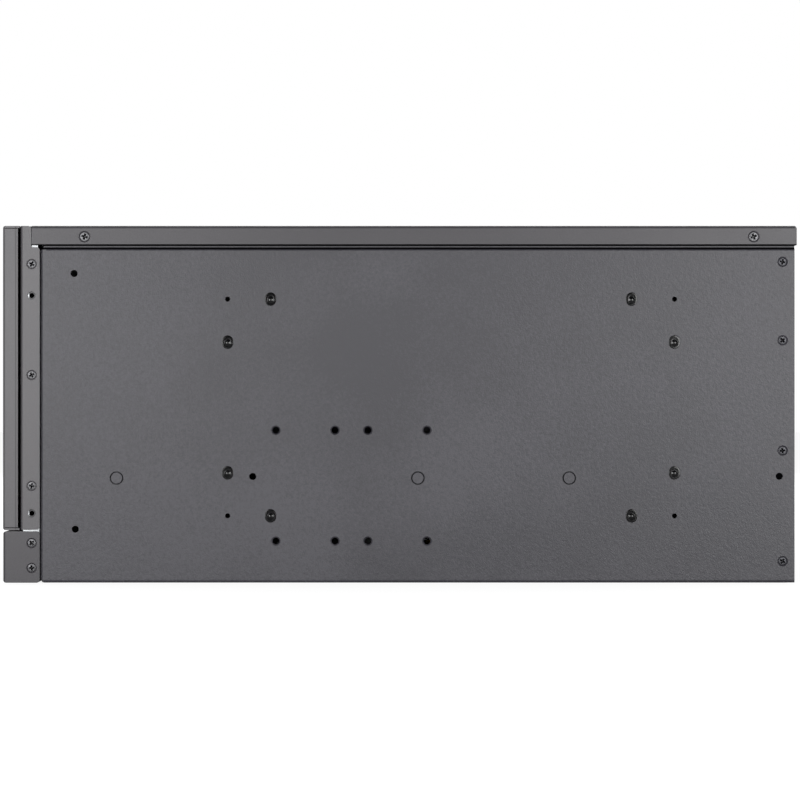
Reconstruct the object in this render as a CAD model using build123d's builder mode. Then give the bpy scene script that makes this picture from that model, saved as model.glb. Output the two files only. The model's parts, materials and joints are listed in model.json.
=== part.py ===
# Empty rackmount server case, four rack units high and short in depth, with a hinged front door.
# Millimetres. +Z is up and the front faces -Y. The origin is under the middle of the case, on the
# plane that the case stands on. "Depth" is always measured back from the door's front face.
import os
from math import cos, radians, sin, tan

from build123d import *

os.makedirs("parts", exist_ok=True)

# Body
body_width = 430.0
body_height = 177.0
body_depth = 392.5  # to the rear panel's outer face
sheet = 1.0
bend = 1.5  # outer radius of a fold
seat = 0.1  # room left where one painted sheet lies on another
side_x = body_width / 2
inner_x = side_x - sheet
step_x = inner_x - seat  # outer face of what lies inside another sheet's flange

# Depths and heights of the front
door_depth = 7.5
panel_front = 8.74
strip_rear = 18.3
fold_gap = 0.4  # groove between the front pieces and the chassis
chassis_front = strip_rear + fold_gap
wall_rear = chassis_front
wall_front = wall_rear - sheet
wall_flange_front = 10.0
bezel_front = 0.1
bezel_top = 25.5
strip_bottom = 26.3
door_bottom = 26.1
door_top = body_height - seat
door_bend = 1.4
door_seam = 0.35  # between the door's side flanges and its upper and lower ones
door_lip = 8.3  # the upper and lower flanges reach a little deeper, past the hinge
door_lip_in = 10.0
cover_front = 14.45
cover_notch = 0.3  # between the cover's front edge and the front panel's flange
notch_drop = 1.0  # the front panel's shoulder lies this far below the cover's flange
corner_radius = 1.7  # corners of the front panel's side flanges
bezel_corner = 1.6
wall_relief = 12.0  # corner relief at the top of the front wall's folds
relief_front = 17.3

# Cover and the stepped top edge of the sides
cover_under = body_height - sheet
cover_flange = 9.6
cover_edge = 0.4  # rounding of the side flanges' lower edges
cover_flange_bottom = body_height - cover_flange
step_low = cover_flange_bottom - 2.3
step_high = step_low + sheet
chassis_top = cover_under - seat
top_flange = 12.0
front_return = 8.0
floor_return = 10.0
cover_rear = body_depth + seat + sheet
rear_flange = 12.0
cover_bend = 1.1  # the cover's rear fold is tighter
cover_corner = 0.7

# Screws: shank radius, head radius and the matching holes
shank = 1.5
hole_play = 0.05
sink_radius = 2.6
head_radius = 2.05
cover_sink_radius = 2.9
cover_head_radius = 2.35
pan_radius = 2.75
pan_height = 2.0
rear_head = 0.8  # the rear panel's screws have low heads
pan_crown = 0.4  # share of a pan head's height that slopes
pan_flat = 0.7  # share of its radius that is flat
side_screw_length = 6.0
pan_screw_length = 5.0
rivet_head = 2.2
rivet_shank = 1.2
rivet_heights = (20.0, 90.0, body_height - 17.0)

# Side pattern, right and left alike: depths and heights
strip_screw_depth = 14.3
strip_screw_low = 48.0
strip_screw_high = body_height - 19.0
strip_screw_heights = (strip_screw_low, (strip_screw_low + strip_screw_high) / 2, strip_screw_high)
ear_hole_heights = (34.4, body_height - 34.6)
ear_hole_radius = 2.05
ear_tap_radius = 1.25
bezel_screw_heights = (7.35, 19.7)
cover_screw_depths = (40.5, body_depth - 20.2)
cover_screw_height = body_height - 5.4
rear_screw_depth = body_depth - 5.9
rear_screw_heights = (10.7, 65.5, 120.2, body_height - 17.9)
locating_holes = ((35.4, body_height - 23.7), (36.0, 26.6), (123.9, 52.7), (body_depth - 7.6, 52.8))
locating_radius = 1.75
foot_depths = (111.5, body_depth - 59.5)
foot_heights = (33.2, body_height - 36.4)
foot_hole_radius = 1.25
foot_step = 21.3
plug_width = 5.5
plug_height = 6.7
plug_rim = 0.6
plug_proud = 0.3
plug_bevel = 0.24
plug_length = 3.0
bracket_depths = (135.4, 164.7, 181.0, 210.3)
bracket_heights = (20.7, 75.6)
bracket_radius = 1.7
bracket_sink = 2.35
stud_depths = (56.4, 205.8, body_depth - 111.7)
stud_height = 51.9
stud_head_radius = 3.0
stud_ring = 0.3  # open ring round a stud's head
stud_bevel = 0.3
stud_radius = 2.0
stud_length = 9.0
nut_across = 7.0
nut_height = 3.2

# Fans
fan_size = 120.0
fan_depth = 25.0
fan_flange = 4.0
fan_bore = 58.0
fan_hole_pitch = 105.0
fan_gap = 1.0
fan_left_in = 9.0  # from the case's left side
fan_height = 88.0
fan_front = wall_rear
hub_radius = 20.0
hub_front_gap = 3.0
hub_depth = 18.0
hub_wall = 1.5
fan_shaft = 1.5
shaft_play = 0.05
blade_count = 7
blade_tip_gap = 1.8
fan_window = 56.0  # radius of the opening in front of a fan
fan_corner_radius = 5.0
strut_width = 4.0
strut_depth = 3.0
bearing_radius = 5.0
bearing_length = 14.0
bearing_wall = 1.5  # closed end of the bearing tube
shaft_end = 2.0  # from the fan's rear face
blade_root_in = 1.0  # the blades start inside the cup's wall
blade_edge = 0.6  # thickness of a blade's edges
blade_over = 6.0  # a blade is drawn this far past its tip and then trimmed round
root_section = (17.0, 50.0, 2.2, 2.2, 0.0)  # chord, pitch in degrees, thickness, camber, forward sweep
middle_section = (23.0, 38.0, 1.8, 2.6, 2.5)
tip_section = (29.0, 27.0, 1.4, 2.4, 8.0)
slat_pitch = 10.0  # slots in the front panel before the fans
slat_count = 11
slat_rib = 4.0
slat_edge = 2.0

# Drive bays
bay_width = 149.0
bay_left = side_x - 28.0 - bay_width
bay_pitch = 42.3
bay_bottom = 36.5
bay_head_room = 3.0  # kept under the cover's flange
bay_count = int((cover_flange_bottom - bay_head_room - bay_bottom) / bay_pitch)
fan_count = int((bay_left + side_x - fan_left_in) / (fan_size + fan_gap))
fan_centres = [fan_left_in + fan_size / 2 - side_x + i * (fan_size + fan_gap) for i in range(fan_count)]
cage_depth = 110.0
cage_flange = 8.0
blank_play = 0.4
blank_wall = 1.8
blank_depth = 22.0
blank_proud = 0.5
blank_front = panel_front - blank_proud
blank_edge = 0.6
blank_groove_width = 1.2
blank_groove_depth = 0.5
blank_groove_in = 10.0
cage_screw_in = 22.0
drive_slot_pitch = 50.0
drive_slot_length = 14.0
drive_slot_width = 3.6
bay_mid = bay_left + bay_width / 2
bay_top = bay_bottom + bay_count * bay_pitch
bay_centre = (bay_bottom + bay_top) / 2

# Door, its hinge and its lock
pivot_in = 3.0  # pin centre from the left face
pivot_depth = 3.2
pin_radius = 1.0
pin_play = 0.05
lug_thick = 2.0
lug_radius = 1.9
lug_reach = 10.0
lug_gap = 0.3
lug_side_gap = 1.0  # between a lug's stem and the door's hinge side
notch_height = 4.0
lock_x = side_x - 13.0
lock_z = 102.0
lock_radius = 6.0
lock_plug_radius = 4.2
lock_play = 0.05
lock_flange_radius = 9.0
lock_flange = 2.0
lock_length = 9.9
lock_body_short = 1.0  # the plug's end stands out of the body
lock_rim = 0.5  # the flange laps the body's side
lock_stud_radius = 2.5
lock_nut_thick = 2.0
lock_nut_radius = 4.6
cam_thick = 1.2
cam_length = 13.0
cam_width = 8.0
cam_round = 5.0
cam_gap = 0.1
key_slot_width = 1.2
key_slot_length = 5.5
key_slot_depth = 2.0
lock_slot_side = 1.0
vent_left = -side_x + 25.0
vent_right = side_x - 43.0
vent_columns = 31
vent_rows = 3
vent_bottom = 47.0
vent_top = body_height - 20.0
vent_slot_width = 5.0
vent_rib = 6.0
filter_thick = 3.0
filter_edge = 3.0
filter_frame_depth = 5.0
filter_rim = 2.5
filter_columns = 6
filter_rows = 3
filter_bar = 4.0

# Buttons, lights and sockets of the lower bezel
control_height = 12.75
power_x = side_x - 31.0
power_radius = 6.0
power_travel = 1.0
reset_x = side_x - 47.0
reset_radius = 2.5
reset_travel = 0.8
button_play = 0.25
button_collar = 1.2
button_collar_depth = 1.2
button_edge = 0.3
switch_size = 6.0
switch_depth = 4.0
switch_nub = 1.5
switch_gap = 0.3
board_front = 11.0
board_thick = 1.6
board_left = side_x - 123.0
board_right = side_x - 21.0
board_bottom = 4.0
board_top = 21.5
lens_x = (side_x - 66.0, side_x - 58.0)
lens_radius = 1.5
usb_x = (side_x - 109.0, side_x - 88.0)
usb_width = 13.1
usb_height = 5.7
usb_wall = 0.5
usb_play = 0.2
usb_back = 1.0
usb_tongue = 1.6
spacer_radius = 2.5
spacer_catch = 1.5  # how far the spacers stand through the wall and the board
spacer_left_in = 5.0
spacer_right_in = 4.0

# Rear panel, slots, I/O opening and power supply
panel_rear_front = body_depth - sheet
recess_depth = 12.0
recess_front = body_depth - sheet - recess_depth  # inner face of the recessed panel
recess_left = 12.5 - side_x
recess_right = side_x - 109.0
ledge_height = 121.0
io_width = 158.75
io_right_in = 3.25
slot_pitch = 20.32
slot_first_in = 11.7  # first slot's centre, from the recess's left side
slot_to_io = 12.88  # from the last slot's centre
slot_first_x = recess_left + slot_first_in
slot_room = recess_right - io_right_in - io_width - slot_to_io - slot_first_x
slot_count = int((slot_room + seat) / slot_pitch) + 1
slot_width = 13.0
slot_bottom = 14.0
slot_top = 110.0
slot_cover_width = 18.42
slot_cover_thick = 0.86
slot_tongue = 10.2
slot_tab = 11.4
slot_overlap = 6.0  # a cover reaches this far below its slot
slot_tongue_length = 5.0
slot_bend = 1.03
slot_screw_length = 6.0
grille_pitch = 12.0
grille_margin = 20.0
upper_columns = int((recess_right - recess_left - grille_margin) / grille_pitch)
upper_grille = (upper_columns, 4.0, 20.0)  # above the slots: columns, width and height of a hole
lower_grille = (12, 5.0, 24.0)  # above the socket opening
grille_rib = 5.0
io_left = slot_first_x + (slot_count - 1) * slot_pitch + slot_to_io
io_bottom = 6.6
io_height = 44.45
supply_left = recess_right + 12.0
supply_width = 86.0
supply_height = 150.0
supply_low = 1.5  # the power supply sits this far under the middle of the height
supply_bottom = (body_height - supply_height) / 2 - supply_low
supply_rim = 4.0
supply_pad = 7.0
supply_hole_in = 6.0
rear_pan_x = side_x - 7.0
rear_pan_z = 7.7

# Motherboard standoffs, full-size board pattern
standoff_height = 6.5
standoff_width = 5.5
standoff_foot = 1.0  # thread that stands on into the hexagon
board_from_recess = (3.0, 10.16)  # rear left hole of the board, from the recess's side and back
board_columns = (0.0, 157.48, 281.94)
board_rows = (0.0, 154.94, 227.33)
board_hole_x = recess_left + board_from_recess[0]
board_hole_depth = recess_front - board_from_recess[1]

# Inside brackets
brace_depth = 190.0
brace_width = 40.0
brace_drop = 14.0
rail_start = stud_depths[0] - 10.4
rail_end = stud_depths[-1] + 11.2
rail_height = 16.0
rail_leg = 8.0
rail_thick = 1.5
rail_bend = 2.0
tray_start = body_depth - 92.5
tray_end = body_depth - 32.5
tray_foot = 8.0

total_depth = cover_rear


def y_of(depth):
    """Y of a plane at this depth behind the door's face."""
    return depth - total_depth / 2


def front_plane(depth):
    """Upright plane across the case, seen from the front; an extrusion runs forwards."""
    return Plane.XZ.offset(-y_of(depth))


def bent_line(corners, radii):
    """Straight runs joined by tangent arcs."""
    start = corners[0]
    for before, corner, after, radius in zip(corners, corners[1:], corners[2:], radii):
        back = (before - corner).normalized()
        ahead = (after - corner).normalized()
        half_angle = radians(back.get_angle(ahead) / 2)
        reach = radius / tan(half_angle)
        middle = corner + (back + ahead).normalized() * (radius / sin(half_angle) - radius)
        Line(start, corner + back * reach)
        ThreePointArc(corner + back * reach, middle, corner + ahead * reach)
        start = corner + ahead * reach
    Line(start, corners[-1])


def fold(points, hand, thickness=sheet, radius=bend):
    """Section of a folded sheet: one face runs through the points, the metal is left (1) or right (-1) of it."""
    corners = [Vector(*point) for point in points]
    runs = [(end - start).normalized() for start, end in zip(corners, corners[1:])]
    across = [run.rotate(Axis.Z, hand * 90) for run in runs]
    pairs = list(zip([across[0]] + across, across + [across[-1]]))
    far_corners = [corner + (before + after) * (thickness / (1 + before.dot(after)))
                   for corner, (before, after) in zip(corners, pairs)]
    turns_in = [hand * before.cross(after).Z > 0 for before, after in zip(runs, runs[1:])]
    with BuildLine() as line:
        bent_line(corners, [radius if turn else radius - thickness for turn in turns_in])
        bent_line(far_corners, [radius - thickness if turn else radius for turn in turns_in])
        Line(corners[0], far_corners[0])
        Line(corners[-1], far_corners[-1])
    make_face(line.edges())


def both_sides(points, x=side_x):
    """Places on the two side faces, each looking outwards."""
    return [Location((sign * x, y_of(depth), height), (0, sign * 90, 0))
            for sign in (-1, 1) for depth, height in points]


def looking_forward(points, depth):
    """Places on an upright plane at this depth, looking to the front."""
    return [Location((x, y_of(depth), z), (90, 0, 0)) for x, z in points]


def looking_back(points, depth):
    """Places on an upright plane at this depth, looking to the rear."""
    return [Location((x, y_of(depth), z), (-90, 0, 0)) for x, z in points]


def save(builder, name):
    """Label a finished piece and write it."""
    builder.part.label = name
    export_step(builder.part, f"parts/{name}.step")


def countersunk_screw(radius, sink, length):
    """Flat-headed screw along -Z, its head as deep in its countersink as the head is narrower."""
    top = -(sink - radius)
    with BuildPart() as screw:
        with BuildSketch(Plane.XZ):
            with BuildLine():
                Polyline((0, top), (radius, top), (shank, top - radius + shank), (shank, -length),
                         (0, -length), close=True)
            make_face()
        revolve(axis=Axis.Z)
    return screw.part


def pan_screw(radius, height, length, core=shank):
    """Round-headed screw along -Z, its head above the plane."""
    crown = height * pan_crown
    with BuildPart() as screw:
        with BuildSketch(Plane.XZ):
            with BuildLine():
                Polyline((0, height), (radius * pan_flat, height), (radius, height - crown), (radius, 0),
                         (core, 0), (core, -length), (0, -length), close=True)
            make_face()
        revolve(axis=Axis.Z)
    return screw.part


def rounded_silhouette(plane, width, height, radius, length):
    """Keep only what lies inside a rounded rectangle seen along the plane's normal."""
    with BuildSketch(plane) as silhouette:
        RectangleRounded(width, height, radius)
    extrude(silhouette.sketch, amount=length, both=True, mode=Mode.INTERSECT)


strip_screws = [(strip_screw_depth, z) for z in strip_screw_heights + bezel_screw_heights]
ear_holes = [(strip_screw_depth, z) for z in ear_hole_heights]
cover_screws_at = [(depth, cover_screw_height) for depth in cover_screw_depths]
rear_screws_at = [(rear_screw_depth, z) for z in rear_screw_heights]
foot_corners = [(depth, z) for depth in foot_depths for z in foot_heights]
foot_mid = sum(foot_depths) / 2
foot_centre = sum(foot_heights) / 2
plug_places = [(depth + (foot_step if depth < foot_mid else -foot_step), z) for depth, z in foot_corners]
plug_places += [(depth, z + (foot_step if z < foot_centre else -foot_step)) for depth, z in foot_corners]
bracket_places = [(depth, z) for depth in bracket_depths for z in bracket_heights]
stud_places = [(depth, stud_height) for depth in stud_depths]
rear_pans = [(sign * rear_pan_x, rear_pan_z) for sign in (-1, 1)]
fan_corner = fan_hole_pitch / 2
fan_holes = [(x + dx, fan_height + dz) for x in fan_centres
             for dx in (-fan_corner, fan_corner) for dz in (-fan_corner, fan_corner)]
cage_holes = [(x, z) for x in (bay_left + cage_screw_in, bay_left + bay_width - cage_screw_in)
              for z in (bay_bottom - cage_flange / 2 - sheet, bay_top + cage_flange / 2 + sheet)]
rivet_x = side_x - front_return + rivet_head + seat
rivet_holes = [(sign * rivet_x, z) for sign in (-1, 1) for z in rivet_heights]
spacer_x = (board_left + spacer_left_in, board_right - spacer_right_in)
board_centre = (board_left + board_right) / 2

# Chassis body: floor and sides in one sheet, the top edges stepped in under the cover and turned in,
# narrow returns round the front and a return behind the floor
with BuildPart() as chassis_body:
    side_path = [(step_x - top_flange, chassis_top), (step_x, chassis_top), (step_x, step_high),
                 (side_x, step_low), (side_x, 0)]
    with BuildSketch(front_plane(body_depth)):
        fold(side_path + [(-x, z) for x, z in reversed(side_path)], -1)
    extrude(amount=body_depth - chassis_front - bend)
    for sign in (-1, 1):
        with BuildSketch(Plane.XY.offset(bend)):
            fold([(sign * (side_x - front_return), y_of(chassis_front)), (sign * side_x, y_of(chassis_front)),
                  (sign * side_x, y_of(chassis_front + 2 * bend))], sign)
        extrude(amount=step_low - bend)
    floor_half = inner_x - bend
    with BuildSketch(Plane.YZ.offset(-floor_half)):
        fold([(y_of(chassis_front), floor_return), (y_of(chassis_front), 0),
              (y_of(chassis_front + 2 * bend), 0)], 1)
    extrude(amount=2 * floor_half)
    # Behind, the floor stops before the rear panel and its return stands against the panel
    with BuildSketch(front_plane(body_depth)):
        with Locations((0, sheet / 2)):
            Rectangle(2 * inner_x, 2 * sheet)
    extrude(amount=2 * sheet + bend, mode=Mode.SUBTRACT)
    for left, right in ((-floor_half, recess_left - seat), (recess_right + seat, floor_half)):
        with BuildSketch(Plane.YZ.offset(left)):
            fold([(y_of(body_depth - 2 * sheet - 2 * bend), 0), (y_of(body_depth - sheet - seat), 0),
                  (y_of(body_depth - sheet - seat), floor_return)], 1)
        extrude(amount=right - left)
    with BuildSketch(Plane.XY):
        with Locations((0, y_of(body_depth - 2 * sheet - 2 * bend - sheet))):
            Rectangle(2 * floor_half, 4 * bend)
    extrude(amount=sheet)
    # The top flanges end before the cover's rear fold
    with BuildSketch(front_plane(body_depth)):
        with Locations((0, chassis_top)):
            Rectangle(2 * side_x, 2 * sheet)
    extrude(amount=sheet, mode=Mode.SUBTRACT)
    # Side pattern
    with BuildSketch(Plane.YZ):
        with Locations([(y_of(depth), z) for depth, z in locating_holes]):
            Circle(locating_radius)
        with Locations([(y_of(depth), z) for depth, z in foot_corners]):
            Circle(foot_hole_radius)
        with Locations([(y_of(depth), z) for depth, z in stud_places]):
            Circle(stud_head_radius + stud_ring)
        with Locations([(y_of(depth), z) for depth, z in plug_places]):
            SlotOverall(plug_height - 2 * plug_rim + 2 * hole_play,
                        plug_width - 2 * plug_rim + 2 * hole_play, rotation=90)
    extrude(amount=side_x, both=True, mode=Mode.SUBTRACT)
    with Locations(*both_sides(bracket_places)):
        CounterSinkHole(bracket_radius, bracket_sink, depth=3 * sheet, counter_sink_angle=90)
    with Locations(*both_sides(rear_screws_at)):
        CounterSinkHole(shank + hole_play, sink_radius, depth=3 * sheet, counter_sink_angle=90)
    with Locations(*both_sides(cover_screws_at, step_x)):
        Hole(cover_head_radius, depth=3 * sheet)
    with Locations(*looking_forward(rivet_holes, chassis_front)):
        Hole(rivet_shank + hole_play, depth=3 * sheet)
    with Locations(*looking_back(rear_pans, body_depth - sheet - seat)):
        Hole(shank + hole_play, depth=3 * sheet)
    with Locations(*[Location((board_hole_x + x, y_of(board_hole_depth - y), sheet))
                     for x in board_columns for y in board_rows]):
        Hole(shank + hole_play, depth=2 * sheet)
save(chassis_body, "chassis_body")

# Front wall: a zinc-coated pan, open for the fans and the drive bays, its flanges running forwards
with BuildPart() as front_wall:
    wall_bottom = sheet + seat
    wall_top = cover_under - 2 * seat
    with BuildSketch(Plane.XY.offset(wall_bottom + bend)):
        fold([(step_x, y_of(wall_flange_front)), (step_x, y_of(wall_rear)),
              (-step_x, y_of(wall_rear)), (-step_x, y_of(wall_flange_front))], 1)
    extrude(amount=wall_top - wall_bottom - 2 * bend)
    wall_half = inner_x - 2 * sheet - bend
    with BuildSketch(Plane.YZ.offset(-wall_half)):
        fold([(y_of(wall_flange_front), wall_top), (y_of(wall_rear), wall_top),
              (y_of(wall_rear), wall_top - floor_return)], -1)
        fold([(y_of(wall_flange_front), wall_bottom), (y_of(wall_rear), wall_bottom),
              (y_of(wall_rear), wall_bottom + floor_return)], 1)
    extrude(amount=2 * wall_half)
    with BuildSketch(front_plane(wall_rear)):
        with Locations([(x, fan_height) for x in fan_centres]):
            Circle(fan_window)
        with Locations((bay_mid, bay_centre)):
            Rectangle(bay_width, bay_top - bay_bottom)
    extrude(amount=sheet, mode=Mode.SUBTRACT)
    # Corner reliefs at the top of the folds
    for sign in (-1, 1):
        with BuildSketch(Plane.YZ.offset(sign * (step_x - wall_relief))):
            with Locations((y_of(relief_front), step_low - seat)):
                Rectangle(wall_rear - relief_front, body_height, align=(Align.MIN, Align.MIN))
        extrude(amount=sign * wall_relief, mode=Mode.SUBTRACT)
    with Locations(*looking_forward(rivet_holes, wall_front)):
        Hole(rivet_shank + hole_play, depth=2 * sheet)
    with Locations(*looking_forward(fan_holes + cage_holes, wall_front)):
        Hole(shank + hole_play, depth=2 * sheet)
    with Locations(*looking_forward([(x, control_height) for x in spacer_x], wall_front)):
        Hole(shank + hole_play, depth=2 * sheet)
    with Locations(*both_sides(strip_screws, step_x)):
        Hole(shank + hole_play, depth=2 * sheet)
    with Locations(*both_sides(ear_holes, step_x)):
        Hole(ear_tap_radius, depth=2 * sheet)
save(front_wall, "front_wall")

# Front panel behind the door: painted pan with the fan slots, the bay window and the lock's slot
with BuildPart() as front_panel:
    panel_half = inner_x - 2 * sheet + hole_play
    with BuildSketch(Plane.XY.offset(strip_bottom)):
        fold([(side_x, y_of(strip_rear)), (side_x, y_of(panel_front)),
              (-side_x, y_of(panel_front)), (-side_x, y_of(strip_rear))], -1)
    extrude(amount=door_top - strip_bottom)
    with BuildSketch(Plane.YZ.offset(-panel_half)):
        fold([(y_of(cover_front - cover_notch), door_top), (y_of(panel_front), door_top),
              (y_of(panel_front), door_top - 4 * bend)], 1)
        fold([(y_of(wall_front - seat), strip_bottom), (y_of(panel_front), strip_bottom),
              (y_of(panel_front), strip_bottom + 4 * bend)], -1)
    extrude(amount=2 * panel_half)
    # The flanges stop short of the cover
    with BuildSketch(Plane.YZ):
        with Locations((y_of(cover_front - cover_notch), cover_flange_bottom - notch_drop)):
            Rectangle(2 * (strip_rear - cover_front), body_height, align=(Align.MIN, Align.MIN))
    extrude(amount=side_x, both=True, mode=Mode.SUBTRACT)
    for axis in (Axis.Y, Axis.Z):
        ends = front_panel.edges().filter_by(Axis.X).filter_by(lambda edge: edge.length < 2 * sheet)
        fillet(ends.group_by(axis)[-1].group_by(Axis.Y)[-1], corner_radius)
    with BuildSketch(front_plane(panel_front + sheet)):
        for x in fan_centres:
            with Locations((x, fan_height)):
                with GridLocations(0, slat_pitch, 1, slat_count):
                    Rectangle(2 * (fan_window - slat_edge), slat_pitch - slat_rib)
        with Locations((bay_mid, bay_centre)):
            Rectangle(bay_width, bay_top - bay_bottom)
        with Locations((lock_x, lock_z + lock_radius + lock_slot_side)):
            Rectangle(2 * (lock_radius + lock_slot_side), lock_radius + lock_slot_side * 2.5 + cam_length,
                      align=(Align.CENTER, Align.MAX))
    extrude(amount=sheet, mode=Mode.SUBTRACT)
    with Locations(*both_sides([place for place in strip_screws if place[1] > strip_bottom])):
        CounterSinkHole(shank + hole_play, sink_radius, depth=2 * sheet, counter_sink_angle=90)
    with Locations(*both_sides(ear_holes)):
        Hole(ear_hole_radius, depth=2 * sheet)
save(front_panel, "front_panel")

# Lower bezel: a shallow box-like pan across the foot of the front
with BuildPart() as lower_bezel:
    with BuildSketch(Plane.XY):
        fold([(side_x, y_of(strip_rear)), (side_x, y_of(bezel_front)),
              (-side_x, y_of(bezel_front)), (-side_x, y_of(strip_rear))], -1)
    extrude(amount=bezel_top)
    with BuildSketch(Plane.YZ.offset(-panel_half)):
        fold([(y_of(wall_front - seat), bezel_top), (y_of(bezel_front), bezel_top),
              (y_of(bezel_front), bezel_top - 4 * bend)], 1)
        fold([(y_of(strip_rear), 0), (y_of(bezel_front), 0), (y_of(bezel_front), 4 * bend)], -1)
    extrude(amount=2 * panel_half)
    bezel_middle = Plane.YZ.shift_origin((0, y_of((bezel_front + strip_rear) / 2), bezel_top / 2))
    rounded_silhouette(bezel_middle, strip_rear - bezel_front, bezel_top, bezel_corner, side_x)
    with BuildSketch(front_plane(bezel_front + sheet)):
        with Locations((power_x, control_height)):
            Circle(power_radius + button_play)
        with Locations((reset_x, control_height)):
            Circle(reset_radius + button_play)
        with Locations([(x, control_height) for x in lens_x]):
            Circle(lens_radius + hole_play)
        with Locations([(x, control_height) for x in usb_x]):
            Rectangle(usb_width + 2 * usb_play, usb_height + 2 * usb_play)
    extrude(amount=sheet, mode=Mode.SUBTRACT)
    with Locations(*both_sides([place for place in strip_screws if place[1] < strip_bottom])):
        CounterSinkHole(shank + hole_play, sink_radius, depth=2 * sheet, counter_sink_angle=90)
save(lower_bezel, "lower_bezel")

# Top cover: one sheet with a flange down each side and one behind
with BuildPart() as top_cover:
    cover_path = [(side_x, cover_flange_bottom), (side_x, body_height)]
    cover_side_end = cover_rear - sheet - hole_play
    with BuildSketch(front_plane(cover_side_end)):
        fold(cover_path + [(-x, z) for x, z in reversed(cover_path)], 1)
    extrude(amount=cover_side_end - cover_front)
    with BuildSketch(Plane.YZ.offset(-side_x + bend)):
        fold([(y_of(cover_rear), cover_flange_bottom), (y_of(cover_rear), body_height),
              (y_of(cover_rear - 3 * bend), body_height)], 1, radius=cover_bend)
    extrude(amount=2 * (side_x - bend))
    # The rear flange closes the ends of the side flanges
    with BuildSketch(front_plane(cover_rear)):
        with Locations((0, cover_flange_bottom)):
            Rectangle(body_width, cover_under - cover_flange_bottom, align=(Align.CENTER, Align.MIN))
    extrude(amount=sheet)
    with BuildSketch(Plane.YZ) as cover_profile:
        with Locations((y_of(cover_rear), body_height)):
            RectangleRounded(2 * body_depth, body_height, cover_corner, align=(Align.MAX, Align.MAX))
    extrude(amount=side_x, both=True, mode=Mode.INTERSECT)
    low_edges = top_cover.edges().filter_by(Axis.Y).group_by(Axis.Z)[0]
    fillet([edge for edge in low_edges if abs(edge.center().X) > inner_x + seat], cover_edge)
    with Locations(*both_sides(cover_screws_at)):
        CounterSinkHole(shank + hole_play, cover_sink_radius, depth=2 * sheet, counter_sink_angle=90)
save(top_cover, "top_cover")

# Rear panel: web with folded side flanges, open for the recessed panel and the power supply
with BuildPart() as rear_panel:
    web_top = chassis_top - sheet - 3 * seat
    with BuildSketch(Plane.XY.offset(sheet + 3 * seat)):
        fold([(step_x, y_of(body_depth - rear_flange)), (step_x, y_of(body_depth)),
              (-step_x, y_of(body_depth)), (-step_x, y_of(body_depth - rear_flange))], 1)
    extrude(amount=step_low - 2 * sheet)
    with BuildSketch(front_plane(body_depth)):
        with Locations((0, 4 * sheet)):
            Rectangle(2 * (step_x - sheet - 3 * seat), web_top - 4 * sheet, align=(Align.CENTER, Align.MIN))
    extrude(amount=sheet)
    rear_half = step_x - top_flange - 2 * seat
    with BuildSketch(Plane.YZ.offset(-rear_half)):
        fold([(y_of(body_depth - rear_flange), chassis_top), (y_of(body_depth), chassis_top),
              (y_of(body_depth), chassis_top - 4 * bend)], -1)
    extrude(amount=2 * rear_half)
    supply_mid = (supply_left + supply_width / 2, supply_bottom + supply_height / 2)
    recess_mid = (recess_left + recess_right) / 2
    with BuildSketch(front_plane(body_depth)):
        with Locations((recess_mid, 2 * sheet + seat)):
            Rectangle(recess_right - recess_left - 2 * sheet, ledge_height - 3 * sheet - seat,
                      align=(Align.CENTER, Align.MIN))
        with Locations(supply_mid):
            Rectangle(supply_width - 2 * supply_rim, supply_height - 2 * (supply_rim + supply_pad))
            Rectangle(supply_width - 2 * (supply_rim + supply_pad), supply_height - 2 * supply_rim)
        with Locations((recess_mid, (ledge_height + recess_depth + step_low) / 2)):
            with GridLocations(grille_pitch, 0, upper_grille[0], 1):
                Rectangle(*upper_grille[1:])
    extrude(amount=sheet, mode=Mode.SUBTRACT)
    supply_dx = supply_width / 2 - supply_hole_in
    supply_dz = supply_height / 2 - supply_hole_in
    supply_holes = [(supply_mid[0] + dx, supply_mid[1] + dz)
                    for dx in (-supply_dx, supply_dx) for dz in (-supply_dz, supply_dz)]
    with Locations(*looking_back(rear_pans + supply_holes, body_depth)):
        Hole(shank + hole_play, depth=2 * sheet)
    with Locations(*both_sides(rear_screws_at, step_x)):
        Hole(shank + hole_play, depth=2 * sheet)
save(rear_panel, "rear_panel")

# Recessed panel: set back from the rear panel by the slot covers' tabs, which lie on its ledge
with BuildPart() as io_panel:
    with BuildSketch(Plane.YZ.offset(recess_left)):
        fold([(y_of(panel_rear_front), ledge_height + recess_depth),
              (y_of(panel_rear_front), ledge_height - sheet),
              (y_of(recess_front + sheet), ledge_height - sheet), (y_of(recess_front + sheet), 2 * sheet),
              (y_of(panel_rear_front - 2 * seat), 2 * sheet)], -1)
    extrude(amount=recess_right - recess_left)
    for x in (recess_left, recess_right - sheet):
        with BuildSketch(Plane.YZ.offset(x)):
            with Locations((y_of(recess_front), sheet)):
                Rectangle(recess_depth, ledge_height - sheet, align=(Align.MIN, Align.MIN))
        extrude(amount=sheet)
    with BuildSketch(front_plane(recess_front + sheet)):
        with Locations([(slot_first_x + i * slot_pitch, slot_bottom) for i in range(slot_count)]):
            Rectangle(slot_width, slot_top - slot_bottom, align=(Align.CENTER, Align.MIN))
        with Locations((io_left, io_bottom)):
            Rectangle(io_width, io_height, align=(Align.MIN, Align.MIN))
        with Locations((io_left + io_width / 2, (io_bottom + io_height + ledge_height) / 2)):
            with GridLocations(grille_pitch, lower_grille[2] + grille_rib, lower_grille[0], 2):
                Rectangle(*lower_grille[1:])
    extrude(amount=sheet, mode=Mode.SUBTRACT)
    tab_holes = [(slot_first_x + i * slot_pitch, y_of(recess_front + slot_tab / 2)) for i in range(slot_count)]
    with Locations(*[Location((x, y, ledge_height)) for x, y in tab_holes]):
        Hole(shank + hole_play, depth=2 * sheet)
save(io_panel, "io_panel")

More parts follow.
